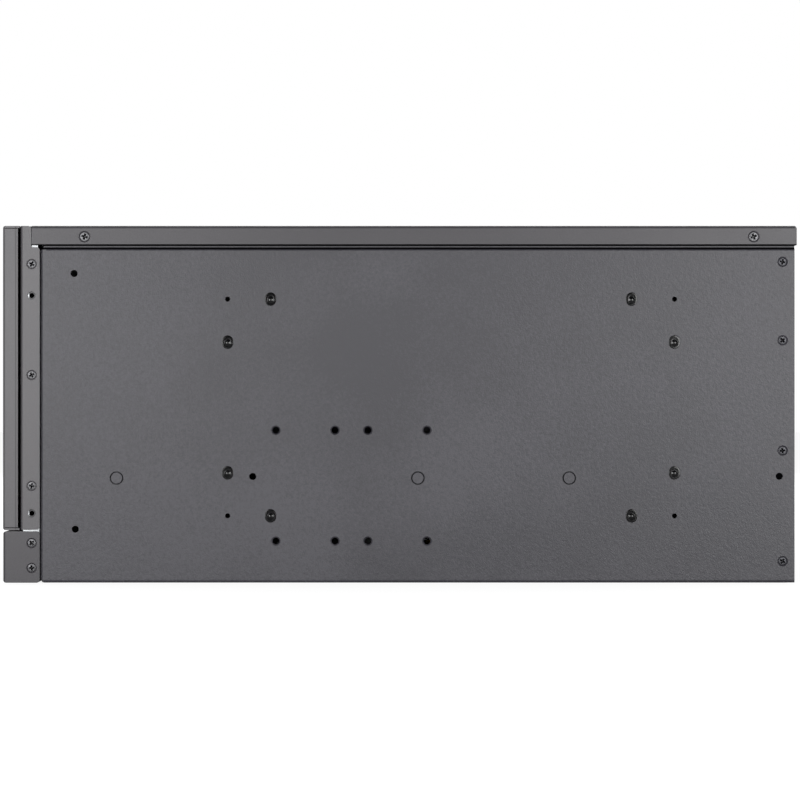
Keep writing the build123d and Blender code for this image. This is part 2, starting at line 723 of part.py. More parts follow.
# Slot covers: flat strips with a tongue below and a tab that is bent back over the ledge
for i in range(slot_count):
    cover_x = slot_first_x + i * slot_pitch
    with BuildPart() as slot_cover:
        with BuildSketch(Plane.YZ.offset(cover_x - slot_cover_width / 2)):
            fold([(y_of(recess_front - slot_cover_thick), slot_bottom - slot_overlap),
                  (y_of(recess_front - slot_cover_thick), ledge_height + slot_cover_thick),
                  (y_of(recess_front + slot_tab - slot_cover_thick), ledge_height + slot_cover_thick)],
                 -1, slot_cover_thick, slot_bend)
        extrude(amount=slot_cover_width)
        with BuildSketch(front_plane(recess_front)):
            for sign in (-1, 1):
                with Locations((cover_x + sign * (slot_cover_width + slot_tongue) / 4,
                                slot_bottom - slot_overlap)):
                    Rectangle((slot_cover_width - slot_tongue) / 2, slot_tongue_length,
                              align=(Align.CENTER, Align.MIN))
        extrude(amount=2 * slot_cover_thick, mode=Mode.SUBTRACT)
        with Locations((cover_x, tab_holes[i][1], ledge_height + slot_cover_thick)):
            Hole(shank + hole_play, depth=2 * slot_cover_thick)
    save(slot_cover, f"slot_cover_{i + 1}")

with BuildPart() as slot_screws:
    with Locations(*[Location((x, y, ledge_height + slot_cover_thick)) for x, y in tab_holes]):
        add(pan_screw(pan_radius, pan_height, slot_screw_length))
save(slot_screws, "slot_screws")

# Front door: a pan with its corners seamed, slotted in front of the filter
with BuildPart() as front_door:
    door_height = door_top - door_bottom
    with BuildSketch(Plane.XY.offset(door_bottom + sheet + door_seam)):
        fold([(side_x, y_of(door_depth)), (side_x, y_of(0)), (-side_x, y_of(0)), (-side_x, y_of(door_depth))],
             -1, radius=door_bend)
    extrude(amount=door_height - 2 * (sheet + door_seam))
    for depth, left in ((door_depth, -side_x), (door_lip, door_lip_in - side_x)):
        with BuildSketch(Plane.YZ.offset(left)):
            for end, inwards, hand in ((door_top, -1, 1), (door_bottom, 1, -1)):
                fold([(y_of(depth), end), (y_of(0), end), (y_of(0), end + inwards * 4 * bend)], hand,
                     radius=door_bend)
        extrude(amount=side_x - left)
    door_middle = Plane.YZ.shift_origin((0, y_of(door_lip), (door_top + door_bottom) / 2))
    rounded_silhouette(door_middle, 2 * door_lip, door_height, door_bend, side_x)
    with BuildSketch(Plane.XY.offset(door_bottom)):
        with Locations((0, y_of(0))):
            RectangleRounded(body_width, 2 * door_depth, door_bend, align=(Align.CENTER, Align.MIN))
    extrude(amount=door_height, mode=Mode.INTERSECT)
    # Notches for the hinge lugs in the left flange, and the pin holes
    with BuildSketch(Plane.YZ.offset(-side_x)):
        with Locations((y_of(door_bend + seat), door_top - sheet)):
            Rectangle(door_depth, notch_height, align=(Align.MIN, Align.MAX))
        with Locations((y_of(door_bend + seat), door_bottom + sheet)):
            Rectangle(door_depth, notch_height, align=(Align.MIN, Align.MIN))
    extrude(amount=sheet, mode=Mode.SUBTRACT)
    pivot = (-side_x + pivot_in, y_of(pivot_depth))
    with BuildSketch(Plane.XY):
        with Locations(pivot):
            Circle(pin_radius + pin_play)
    extrude(amount=body_height, mode=Mode.SUBTRACT)
    # Ventilation slots
    vent_pitch = (vent_right - vent_left) / vent_columns
    vent_length = (vent_top - vent_bottom - (vent_rows - 1) * vent_rib) / vent_rows
    with BuildSketch(front_plane(sheet)):
        with Locations(((vent_left + vent_right) / 2, (vent_top + vent_bottom) / 2)):
            with GridLocations(vent_pitch, vent_length + vent_rib, vent_columns, vent_rows):
                Rectangle(vent_slot_width, vent_length)
        with Locations((lock_x, lock_z)):
            Circle(lock_radius + lock_play)
    extrude(amount=sheet, mode=Mode.SUBTRACT)
save(front_door, "front_door")

# Foam filter in the door, held by a moulded frame whose rim stands round it
filter_width = vent_right - vent_left + 2 * filter_edge
filter_height = vent_top - vent_bottom + 2 * filter_edge
filter_mid = ((vent_left + vent_right) / 2, (vent_top + vent_bottom) / 2)
with BuildPart() as door_filter:
    with BuildSketch(front_plane(sheet + seat + filter_thick)):
        with Locations(filter_mid):
            Rectangle(filter_width, filter_height)
    extrude(amount=filter_thick)
save(door_filter, "door_filter")

with BuildPart() as filter_frame:
    with BuildSketch(front_plane(sheet + filter_frame_depth)):
        with Locations(filter_mid):
            Rectangle(filter_width + 2 * filter_rim, filter_height + 2 * filter_rim)
            Rectangle(filter_width + 2 * seat, filter_height + 2 * seat, mode=Mode.SUBTRACT)
    extrude(amount=filter_frame_depth)
    with BuildSketch(front_plane(sheet + filter_frame_depth)):
        with Locations(filter_mid):
            Rectangle(filter_width + 2 * filter_rim, filter_height + 2 * filter_rim)
            cell_width = filter_width / filter_columns
            cell_height = filter_height / filter_rows
            with GridLocations(cell_width, cell_height, filter_columns, filter_rows):
                Rectangle(cell_width - filter_bar, cell_height - filter_bar, mode=Mode.SUBTRACT)
    extrude(amount=filter_frame_depth - filter_thick - 2 * seat)
save(filter_frame, "filter_frame")

# Hinge lugs: flat hooks on the front panel, reaching round the door's left flange to the pins
lug_stem = lug_reach - lug_radius - lug_side_gap
lug_low = door_bottom + sheet + lug_gap
lug_high = door_top - sheet - lug_gap - lug_thick
for name, height in (("hinge_lug_lower", lug_low), ("hinge_lug_upper", lug_high)):
    with BuildPart() as hinge_lug:
        with BuildSketch(Plane.XY.offset(height)):
            with Locations(pivot):
                Circle(lug_radius)
                Rectangle(lug_reach, 2 * lug_radius, align=(Align.MIN, Align.CENTER))
            with Locations((pivot[0] + lug_reach, y_of(panel_front))):
                Rectangle(lug_stem, panel_front - pivot_depth + lug_radius, align=(Align.MAX, Align.MAX))
            with Locations(pivot):
                Circle(pin_radius, mode=Mode.SUBTRACT)
        extrude(amount=lug_thick)
    save(hinge_lug, name)

with BuildPart() as hinge_pins:
    pin_length = sheet + lug_gap + lug_thick
    with Locations(Location((pivot[0], pivot[1], door_bottom)),
                   Location((pivot[0], pivot[1], door_top - pin_length))):
        Cylinder(pin_radius, pin_length, align=(Align.CENTER, Align.CENTER, Align.MIN))
save(hinge_pins, "hinge_pins")

# Door lock: body with a flange behind the door's face, turning plug, cam and nut
cam_front = lock_length + cam_gap
with BuildPart() as lock_body:
    with BuildSketch(front_plane(lock_length - lock_body_short)):
        with Locations((lock_x, lock_z)):
            Circle(lock_radius)
            Circle(lock_plug_radius + lock_play, mode=Mode.SUBTRACT)
    extrude(amount=lock_length - lock_body_short)
    with BuildSketch(front_plane(sheet + lock_flange)):
        with Locations((lock_x, lock_z)):
            RegularPolygon(lock_flange_radius, 6)
            Circle(lock_radius - lock_rim, mode=Mode.SUBTRACT)
    extrude(amount=lock_flange)
save(lock_body, "lock_body")

with BuildPart() as lock_plug:
    stud_end = cam_front + cam_thick + lock_nut_thick
    with BuildSketch(front_plane(lock_length)):
        with Locations((lock_x, lock_z)):
            Circle(lock_plug_radius)
    extrude(amount=lock_length - seat)
    with BuildSketch(front_plane(stud_end)):
        with Locations((lock_x, lock_z)):
            Circle(lock_stud_radius)
    extrude(amount=stud_end - lock_length)
    with BuildSketch(front_plane(seat + key_slot_depth)):
        with Locations((lock_x, lock_z)):
            Rectangle(key_slot_width, key_slot_length)
    extrude(amount=key_slot_depth, mode=Mode.SUBTRACT)
save(lock_plug, "lock_plug")

with BuildPart() as lock_cam:
    with BuildSketch(front_plane(cam_front + cam_thick)):
        with Locations((lock_x, lock_z)):
            Circle(cam_round)
            Rectangle(cam_width, cam_length, align=(Align.CENTER, Align.MAX))
            Circle(lock_stud_radius + hole_play, mode=Mode.SUBTRACT)
    extrude(amount=cam_thick)
save(lock_cam, "lock_cam")

with BuildPart() as lock_nut:
    with BuildSketch(front_plane(stud_end)):
        with Locations((lock_x, lock_z)):
            RegularPolygon(lock_nut_radius, 6)
            Circle(lock_stud_radius + hole_play, mode=Mode.SUBTRACT)
    extrude(amount=stud_end - cam_front - cam_thick)
save(lock_nut, "lock_nut")

# Fans: square frame with a round duct, struts and a bearing tube; seven twisted blades on a cup
fan_rear = fan_front + fan_depth
rotor_front = fan_front + hub_front_gap
for name, fan_x in zip(("left", "right"), fan_centres):
    fan_at = (fan_x, fan_height)
    with BuildPart() as fan_frame:
        for flange_rear in (fan_front + fan_flange, fan_rear):
            with BuildSketch(front_plane(flange_rear)):
                with Locations(fan_at):
                    RectangleRounded(fan_size, fan_size, fan_corner_radius)
            extrude(amount=fan_flange)
        with BuildSketch(front_plane(fan_rear)):
            with Locations(fan_at):
                Circle(fan_size / 2)
        extrude(amount=fan_depth)
        with BuildSketch(front_plane(fan_rear)):
            with Locations(fan_at):
                Circle(fan_bore)
            with Locations([place for place in fan_holes if abs(place[0] - fan_x) < fan_size]):
                Circle(shank + hole_play)
        extrude(amount=fan_depth, mode=Mode.SUBTRACT)
        with BuildSketch(front_plane(fan_rear)):
            with Locations(fan_at):
                Circle(hub_radius)
                Rectangle(fan_bore + fan_size / 2, strut_width, rotation=45)
                Rectangle(fan_bore + fan_size / 2, strut_width, rotation=-45)
        extrude(amount=strut_depth)
        with BuildSketch(front_plane(fan_rear)):
            with Locations(fan_at):
                Circle(bearing_radius)
        extrude(amount=bearing_length)
        with BuildSketch(front_plane(fan_rear - bearing_wall)):
            with Locations(fan_at):
                Circle(fan_shaft + shaft_play)
        extrude(amount=fan_depth, mode=Mode.SUBTRACT)
    save(fan_frame, f"fan_frame_{name}")

    blade_root = hub_radius - blade_root_in
    blade_tip = fan_bore - blade_tip_gap
    blade_middle = rotor_front + hub_depth / 2
    with BuildPart() as blade:
        for radius, section in ((blade_root, root_section), ((blade_root + blade_tip) / 2, middle_section),
                                (blade_tip + blade_over, tip_section)):
            chord, pitch, thick, camber, sweep_ahead = section
            along = (0, sin(radians(pitch)), cos(radians(pitch)))
            with BuildSketch(Plane(origin=(radius, 0, sweep_ahead), x_dir=along, z_dir=(1, 0, 0))):
                with BuildLine():
                    ends = [(sign * chord / 2, side * blade_edge / 2) for side in (1, -1) for sign in (-1, 1)]
                    ThreePointArc(ends[0], (0, camber + thick / 2), ends[1])
                    Line(ends[1], ends[3])
                    ThreePointArc(ends[3], (0, camber - thick / 2), ends[2])
                    Line(ends[2], ends[0])
                make_face()
        loft()
        # The tips run round the duct
        with BuildSketch(Plane.XZ.offset(-hub_depth)):
            Circle(blade_tip)
        extrude(amount=2 * hub_depth, mode=Mode.INTERSECT)
    with BuildPart() as fan_rotor:
        with BuildSketch(front_plane(rotor_front + hub_depth)):
            with Locations(fan_at):
                Circle(hub_radius)
        extrude(amount=hub_depth)
        with Locations(*[Location((fan_x, y_of(blade_middle), fan_height), (0, 360 / blade_count * i, 0))
                         for i in range(blade_count)]):
            add(blade.part)
        with BuildSketch(front_plane(rotor_front + hub_depth)):
            with Locations(fan_at):
                Circle(hub_radius - hub_wall)
        extrude(amount=hub_depth - hub_wall, mode=Mode.SUBTRACT)
        with BuildSketch(front_plane(fan_rear - shaft_end)):
            with Locations(fan_at):
                Circle(fan_shaft)
        extrude(amount=fan_rear - shaft_end - rotor_front - hub_wall / 2)
    save(fan_rotor, f"fan_rotor_{name}")

with BuildPart() as fan_screws:
    with Locations(*looking_forward(fan_holes, wall_front)):
        add(pan_screw(pan_radius, pan_height, fan_flange + sheet))
save(fan_screws, "fan_screws")

# Drive cage: a folded tube open at both ends, with slots for the drives' screws
with BuildPart() as drive_cage:
    cage_rear = wall_rear + cage_depth
    with BuildSketch(front_plane(cage_rear)):
        with Locations((bay_mid, bay_centre)):
            RectangleRounded(bay_width + 2 * sheet, bay_top - bay_bottom + 2 * sheet, bend)
            Rectangle(bay_width, bay_top - bay_bottom, mode=Mode.SUBTRACT)
    extrude(amount=cage_depth)
    with BuildSketch(front_plane(wall_rear + sheet)):
        with Locations((bay_mid, bay_centre)):
            Rectangle(bay_width, bay_top - bay_bottom + 2 * (sheet + cage_flange))
            Rectangle(bay_width, bay_top - bay_bottom, mode=Mode.SUBTRACT)
    extrude(amount=sheet)
    with BuildSketch(Plane.YZ.offset(bay_mid)):
        with Locations((y_of(wall_rear + cage_depth / 2), bay_centre)):
            with GridLocations(drive_slot_pitch, bay_pitch, 2, bay_count):
                Rectangle(drive_slot_length, drive_slot_width)
    extrude(amount=bay_width, both=True, mode=Mode.SUBTRACT)
    with Locations(*looking_forward(cage_holes, wall_rear)):
        Hole(shank + hole_play, depth=2 * sheet)
save(drive_cage, "drive_cage")

with BuildPart() as cage_screws:
    with Locations(*looking_forward(cage_holes, wall_front)):
        add(pan_screw(pan_radius, pan_height, pan_screw_length))
save(cage_screws, "cage_screws")

# Bay blanks: moulded trays that fill the bays, each open behind
for i in range(bay_count):
    blank_at = (bay_mid, bay_bottom + (i + 0.5) * bay_pitch)
    blank_w = bay_width - 2 * blank_play
    blank_h = bay_pitch - blank_play
    with BuildPart() as bay_blank:
        with BuildSketch(front_plane(blank_front + blank_depth)):
            with Locations(blank_at):
                Rectangle(blank_w, blank_h)
        extrude(amount=blank_depth)
        chamfer(bay_blank.faces().sort_by(Axis.Y)[0].edges(), blank_edge)
        with BuildSketch(front_plane(blank_front + blank_depth)):
            with Locations(blank_at):
                Rectangle(blank_w - 2 * blank_wall, blank_h - 2 * blank_wall)
        extrude(amount=blank_depth - blank_wall, mode=Mode.SUBTRACT)
        with BuildSketch(front_plane(blank_front + blank_groove_depth)):
            with Locations((bay_mid, blank_at[1] - blank_h / 4)):
                Rectangle(blank_w - 2 * blank_groove_in, blank_groove_width)
        extrude(amount=blank_groove_depth, mode=Mode.SUBTRACT)
    save(bay_blank, f"bay_blank_{i + 1}")

# Controls in the lower bezel, with their board behind
button_face = bezel_front + seat
collar_front = bezel_front + sheet + switch_gap
for name, x, radius, travel in (("power_button", power_x, power_radius, power_travel),
                                ("reset_button", reset_x, reset_radius, reset_travel)):
    stem_end = board_front - switch_depth - travel - switch_gap
    with BuildPart() as button:
        with BuildSketch(front_plane(stem_end)):
            with Locations((x, control_height)):
                Circle(switch_nub)
        extrude(amount=stem_end - collar_front)
        with BuildSketch(front_plane(collar_front + button_collar_depth)):
            with Locations((x, control_height)):
                Circle(radius + button_collar)
        extrude(amount=button_collar_depth)
        with BuildSketch(front_plane(collar_front + button_collar_depth)):
            with Locations((x, control_height)):
                Circle(radius)
        extrude(amount=collar_front + button_collar_depth - button_face)
        chamfer(button.faces().sort_by(Axis.Y)[0].edges(), button_edge)
    save(button, name)

with BuildPart() as button_switches:
    with BuildSketch(front_plane(board_front)):
        with Locations((power_x, control_height), (reset_x, control_height)):
            Rectangle(switch_size, switch_size)
    extrude(amount=switch_depth)
save(button_switches, "button_switches")

with BuildPart() as indicator_lenses:
    with Locations(*looking_forward([(x, control_height) for x in lens_x], bezel_front)):
        Cylinder(lens_radius, board_front - bezel_front, align=(Align.CENTER, Align.CENTER, Align.MAX))
save(indicator_lenses, "indicator_lenses")

with BuildPart() as usb_sockets:
    with BuildSketch(front_plane(board_front)):
        with Locations([(x, control_height) for x in usb_x]):
            Rectangle(usb_width, usb_height)
    extrude(amount=board_front - bezel_front)
    with BuildSketch(front_plane(board_front - usb_back)):
        with Locations([(x, control_height) for x in usb_x]):
            Rectangle(usb_width - 2 * usb_wall, usb_height - 2 * usb_wall)
        with Locations([(x, control_height + usb_height / 5) for x in usb_x]):
            Rectangle(usb_width - 4 * usb_wall, usb_tongue, mode=Mode.SUBTRACT)
    extrude(amount=board_front - bezel_front, mode=Mode.SUBTRACT)
save(usb_sockets, "usb_sockets")

with BuildPart() as control_board:
    with BuildSketch(front_plane(board_front + board_thick)):
        with Locations((board_centre, (board_bottom + board_top) / 2)):
            Rectangle(board_right - board_left, board_top - board_bottom)
        with Locations([(x, control_height) for x in spacer_x]):
            Circle(shank + hole_play, mode=Mode.SUBTRACT)
    extrude(amount=board_thick)
save(control_board, "control_board")

# Nylon spacers snap through the wall and the board
with BuildPart() as board_spacers:
    spacer_back = wall_rear + spacer_catch
    spacer_nose = board_front - spacer_catch
    with BuildSketch(front_plane(wall_front)):
        with Locations([(x, control_height) for x in spacer_x]):
            Circle(spacer_radius)
    extrude(amount=wall_front - board_front - board_thick)
    with BuildSketch(front_plane(spacer_back)):
        with Locations([(x, control_height) for x in spacer_x]):
            Circle(shank)
    extrude(amount=spacer_back - spacer_nose)
save(board_spacers, "board_spacers")

# Screws, plugs, studs and rivets
with BuildPart() as front_screws:
    with Locations(*both_sides(strip_screws)):
        add(countersunk_screw(head_radius, sink_radius, side_screw_length))
save(front_screws, "front_screws")

with BuildPart() as rear_side_screws:
    with Locations(*both_sides(rear_screws_at)):
        add(countersunk_screw(head_radius, sink_radius, side_screw_length))
save(rear_side_screws, "rear_side_screws")

with BuildPart() as cover_screws:
    with Locations(*both_sides(cover_screws_at)):
        add(countersunk_screw(cover_head_radius, cover_sink_radius, side_screw_length))
save(cover_screws, "cover_screws")

with BuildPart() as rear_panel_screws:
    with Locations(*looking_back(rear_pans, body_depth)):
        add(pan_screw(pan_radius, rear_head, pan_screw_length))
save(rear_panel_screws, "rear_panel_screws")

with BuildPart() as wall_rivets:
    with Locations(*looking_forward(rivet_holes, wall_front)):
        add(pan_screw(rivet_head, sheet, 3 * sheet, rivet_shank))
save(wall_rivets, "wall_rivets")

with BuildPart() as side_plug:
    with BuildSketch(Plane.XY):
        SlotOverall(plug_height, plug_width)
    extrude(amount=plug_proud)
    chamfer(side_plug.faces().sort_by(Axis.Z)[-1].edges(), plug_bevel)
    with BuildSketch(Plane.XY):
        SlotOverall(plug_height - 2 * plug_rim, plug_width - 2 * plug_rim)
    extrude(amount=-plug_length)
with BuildPart() as side_plugs:
    with Locations(*both_sides(plug_places)):
        add(side_plug.part)
save(side_plugs, "side_plugs")

with BuildPart() as side_stud:
    with BuildSketch(Plane.XZ):
        with BuildLine():
            Polyline((0, 0), (stud_head_radius - stud_bevel, 0), (stud_head_radius, -stud_bevel),
                     (stud_head_radius, -sheet), (stud_radius, -sheet), (stud_radius, -stud_length),
                     (0, -stud_length), close=True)
        make_face()
    revolve(axis=Axis.Z)
with BuildPart() as side_studs:
    with Locations(*both_sides(stud_places)):
        add(side_stud.part)
save(side_studs, "side_studs")

# Side rails on the studs, with a nut on each stud
for name, sign in (("side_rail_left", -1), ("side_rail_right", 1)):
    with BuildPart() as side_rail:
        rail_x = sign * (inner_x - seat)
        with BuildSketch(front_plane(rail_end)):
            fold([(rail_x, stud_height + rail_height / 2), (rail_x, stud_height - rail_height / 2),
                  (rail_x - sign * rail_leg, stud_height - rail_height / 2)],
                 -sign, rail_thick, rail_bend)
        extrude(amount=rail_end - rail_start)
        with BuildSketch(Plane.YZ):
            with Locations([(y_of(depth), z) for depth, z in stud_places]):
                Circle(stud_radius + hole_play)
            with Locations([(y_of(depth), z) for depth, z in locating_holes]):
                Circle(locating_radius)
            with Locations([(y_of(depth), z) for depth, z in plug_places]):
                SlotOverall(plug_height, plug_width, rotation=90)
        extrude(amount=side_x, both=True, mode=Mode.SUBTRACT)
    save(side_rail, name)

with BuildPart() as rail_nut:
    with BuildSketch():
        RegularPolygon(nut_across / 2, 6, major_radius=False)
        Circle(stud_radius + hole_play, mode=Mode.SUBTRACT)
    extrude(amount=-nut_height)
with BuildPart() as rail_nuts:
    with Locations(*both_sides(stud_places, inner_x - seat - rail_thick)):
        add(rail_nut.part)
save(rail_nuts, "rail_nuts")

# Hex standoffs for a full-size motherboard
with BuildPart() as board_standoffs:
    standoff_places = [(board_hole_x + x, y_of(board_hole_depth - y)) for x in board_columns
                       for y in board_rows]
    with BuildSketch(Plane.XY.offset(sheet)):
        with Locations(standoff_places):
            RegularPolygon(standoff_width / 2, 6, major_radius=False)
            Circle(shank, mode=Mode.SUBTRACT)
    extrude(amount=standoff_height)
    with BuildSketch(Plane.XY):
        with Locations(standoff_places):
            Circle(shank)
    extrude(amount=sheet + standoff_foot)
save(board_standoffs, "board_standoffs")

# Cross brace under the cover: a hat-shaped channel from side to side
with BuildPart() as cross_brace:
    brace_top = chassis_top - sheet
    brace_half = step_x - sheet - bend
    with BuildSketch(Plane.YZ.offset(-brace_half)):
        fold([(y_of(brace_depth), brace_top - brace_drop), (y_of(brace_depth), brace_top),
              (y_of(brace_depth + brace_width), brace_top),
              (y_of(brace_depth + brace_width), brace_top - brace_drop)], -1)
    extrude(amount=2 * brace_half)
save(cross_brace, "cross_brace")

# Power supply tray: a low hat-shaped shelf on the floor
with BuildPart() as supply_tray:
    tray_left = supply_left
    tray_right = supply_left + supply_width
    tray_top = supply_bottom - seat
    foot_top = 2 * sheet
    tray_bend = min(bend, (tray_top - foot_top + sheet) / 2)
    with BuildSketch(front_plane(tray_end)):
        fold([(tray_left - tray_foot, foot_top), (tray_left, foot_top), (tray_left, tray_top),
              (tray_right, tray_top), (tray_right, foot_top), (tray_right + tray_foot, foot_top)], -1,
             radius=tray_bend)
    extrude(amount=tray_end - tray_start)
save(supply_tray, "supply_tray")
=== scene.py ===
# Empty rackmount server case: the finishes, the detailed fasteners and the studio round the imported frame
import json
from math import cos, radians, sin

import bpy
from mathutils import Matrix, Vector


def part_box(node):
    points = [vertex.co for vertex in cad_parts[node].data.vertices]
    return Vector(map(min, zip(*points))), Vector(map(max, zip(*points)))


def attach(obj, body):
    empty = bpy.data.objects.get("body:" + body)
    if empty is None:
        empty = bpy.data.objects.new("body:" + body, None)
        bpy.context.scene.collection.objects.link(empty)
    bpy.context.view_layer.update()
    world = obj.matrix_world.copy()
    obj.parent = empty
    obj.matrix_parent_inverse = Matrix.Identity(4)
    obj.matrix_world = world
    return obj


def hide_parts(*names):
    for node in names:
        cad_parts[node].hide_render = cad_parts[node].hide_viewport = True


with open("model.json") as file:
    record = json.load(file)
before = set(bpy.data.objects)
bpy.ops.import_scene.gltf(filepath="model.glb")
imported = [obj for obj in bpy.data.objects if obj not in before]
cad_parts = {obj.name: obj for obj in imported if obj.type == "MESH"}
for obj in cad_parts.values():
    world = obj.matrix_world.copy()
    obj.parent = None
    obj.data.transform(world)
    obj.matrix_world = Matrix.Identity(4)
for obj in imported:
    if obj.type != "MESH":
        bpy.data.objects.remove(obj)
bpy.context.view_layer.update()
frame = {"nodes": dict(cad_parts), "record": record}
nodes = frame["nodes"]
print("frame loaded,", len(nodes), "nodes")

mm = 0.001
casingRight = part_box("chassis_body")[1].x  # outer face of the right side
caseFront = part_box("front_door")[0].y


# Camera: level with the case, looking straight at its right side
camera = {"lens": 120, "sensor": 36, "distance": 1.3217, "height": 0.0906, "behindFront": 0.19693,
          "nearest": 0.05, "farthest": 50}


def makeCamera():
    bpy.ops.object.camera_add()
    view = bpy.context.object
    view.name = "camera"
    view.data.lens = camera["lens"]
    view.data.sensor_width = camera["sensor"]
    view.data.clip_start = camera["nearest"]
    view.data.clip_end = camera["farthest"]
    view.location = (casingRight + camera["distance"], caseFront + camera["behindFront"], camera["height"])
    view.rotation_euler = (radians(90), 0, radians(90))
    bpy.context.scene.camera = view


# Node and colour helpers
def hexColour(code):
    # sRGB hex to the linear values that shaders take
    parts = [int(code[i:i + 2], 16) / 255 for i in (0, 2, 4)]
    return [c / 12.92 if c <= 0.04045 else ((c + 0.055) / 1.055) ** 2.4 for c in parts] + [1]


def addNode(tree, kind, links=None, **settings):
    new = tree.nodes.new("ShaderNode" + kind)
    for name, value in settings.items():
        setattr(new, name, value)
    for name, value in (links or {}).items():
        if isinstance(value, bpy.types.NodeSocket):
            tree.links.new(value, new.inputs[name])
        else:
            new.inputs[name].default_value = value
    return new


def combine(tree, operation, values):
    # One value from several, taken in one after another
    total = values[0]
    for value in values[1:]:
        total = addNode(tree, "Math", {0: total, 1: value}, operation=operation).outputs[0]
    return total


def newMaterial(name):
    material = bpy.data.materials.new(name)
    material.use_nodes = True
    tree = material.node_tree
    tree.nodes.clear()
    out = addNode(tree, "OutputMaterial")
    shader = addNode(tree, "BsdfPrincipled")
    tree.links.new(shader.outputs[0], out.inputs[0])
    place = addNode(tree, "TexCoord").outputs["Object"]
    return material, tree, shader, place


# Powder coat, with sizes in millimetres: the grain, the fine grain on it, the clouds in its tone and the
# depth of its bump. Its painted shade colour darkens it where the joints are shaded
paint = {"colour": "3a383c", "patch": "413f43", "thin": "060607", "grain": 0.9, "fine": 0.4, "clouds": 83.3,
         "depth": 0.03, "roughness": 0.42, "gloss": 0.5}
doorPaint = dict(paint, colour="4d4b4e", patch="545255", roughness=0.4)
sidePaint = dict(paint, colour="313036", patch="424147", grain=1.4, fine=0.6, depth=0.12)
coverPaint = dict(paint)
rearPaint = dict(paint)

# Painted shade deep in the joints, where the sheets shade one another. A spot has limits in millimetres along
# the axes that it names
front, side = caseFront / mm, casingRight / mm
coverPaint["thinSpots"] = [{"share": 0.95, "z": (160, 167.85)}]  # lower edge of the flange
sidePaint["thinSpots"] = [{"share": 0.95, "z": (165.2, 166.35)},  # shoulder of the stepped-in top
                          {"share": 0.95, "z": (166.85, 168.5)}]  # and the step behind the flange
doorPaint["thinSpots"] = [{"share": 0.3, "y": (front + 6.1, front + 6.8)}]  # fold behind the door's flange
# Painted shade: a dark patch behind the locating holes, where only shade is seen through them
rearPaint["thinSpots"] = [{"share": 1, "x": (x - 1.7, x + 1.7), "y": (front + 382.8, front + 387.6),
                           "z": (49.8, 54.6)} for x in (side - 1.5, 1.5 - side)]  # behind the locating holes

# The flush studs: their places, and the painted shade in the gap round each head
studs = {"height": 51.9, "head": 3, "ring": 3.1, "half": 0.2, "fade": 0.15, "share": 0.85}
studs["behindFront"] = (56.4, 205.8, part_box("side_studs")[1].y / mm - front - studs["head"])
sidePaint["rings"] = studs

spotFade = 0.12  # half the width of a spot's soft edge, in millimetres


def inLimits(tree, along, low, high):
    # 1 between two places along an axis, and 0 outside them
    past = addNode(tree, "MapRange", {0: along, 1: (low - spotFade) * mm, 2: (low + spotFade) * mm,
                                      3: 0, 4: 1})
    short = addNode(tree, "MapRange", {0: along, 1: (high - spotFade) * mm, 2: (high + spotFade) * mm,
                                       3: 1, 4: 0})
    return combine(tree, "MINIMUM", [past.outputs[0], short.outputs[0]])


def inSpots(tree, place, spots):
    # The share of each spot between all its limits, and 0 outside the spots
    along = addNode(tree, "SeparateXYZ", {0: place})
    shares = []
    for spot in spots:
        limits = [inLimits(tree, along.outputs[axis.upper()], *spot[axis]) for axis in "xyz" if axis in spot]
        inside = combine(tree, "MINIMUM", limits)
        shares.append(combine(tree, "MULTIPLY", [inside, spot["share"]]))
    return combine(tree, "MAXIMUM", shares)


def inShadeRings(tree, place, rings):
    # The share of painted shade in the rings round the studs, on both sides of the case, and 0 elsewhere
    flat = addNode(tree, "VectorMath", {0: place, 1: (0, 1, 1)}, operation="MULTIPLY")
    shares = []
    for depth in rings["behindFront"]:
        middle = (0, (front + depth) * mm, rings["height"] * mm)
        apart = addNode(tree, "VectorMath", {0: flat.outputs[0], 1: middle}, operation="DISTANCE")
        across = combine(tree, "SUBTRACT", [apart.outputs["Value"], rings["ring"] * mm])
        off = addNode(tree, "Math", {0: across}, operation="ABSOLUTE")
        inside = addNode(tree, "MapRange", {0: off.outputs[0], 1: rings["half"] * mm,
                                            2: (rings["half"] + rings["fade"]) * mm, 3: rings["share"], 4: 0})
        shares.append(inside.outputs[0])
    return combine(tree, "MAXIMUM", shares)


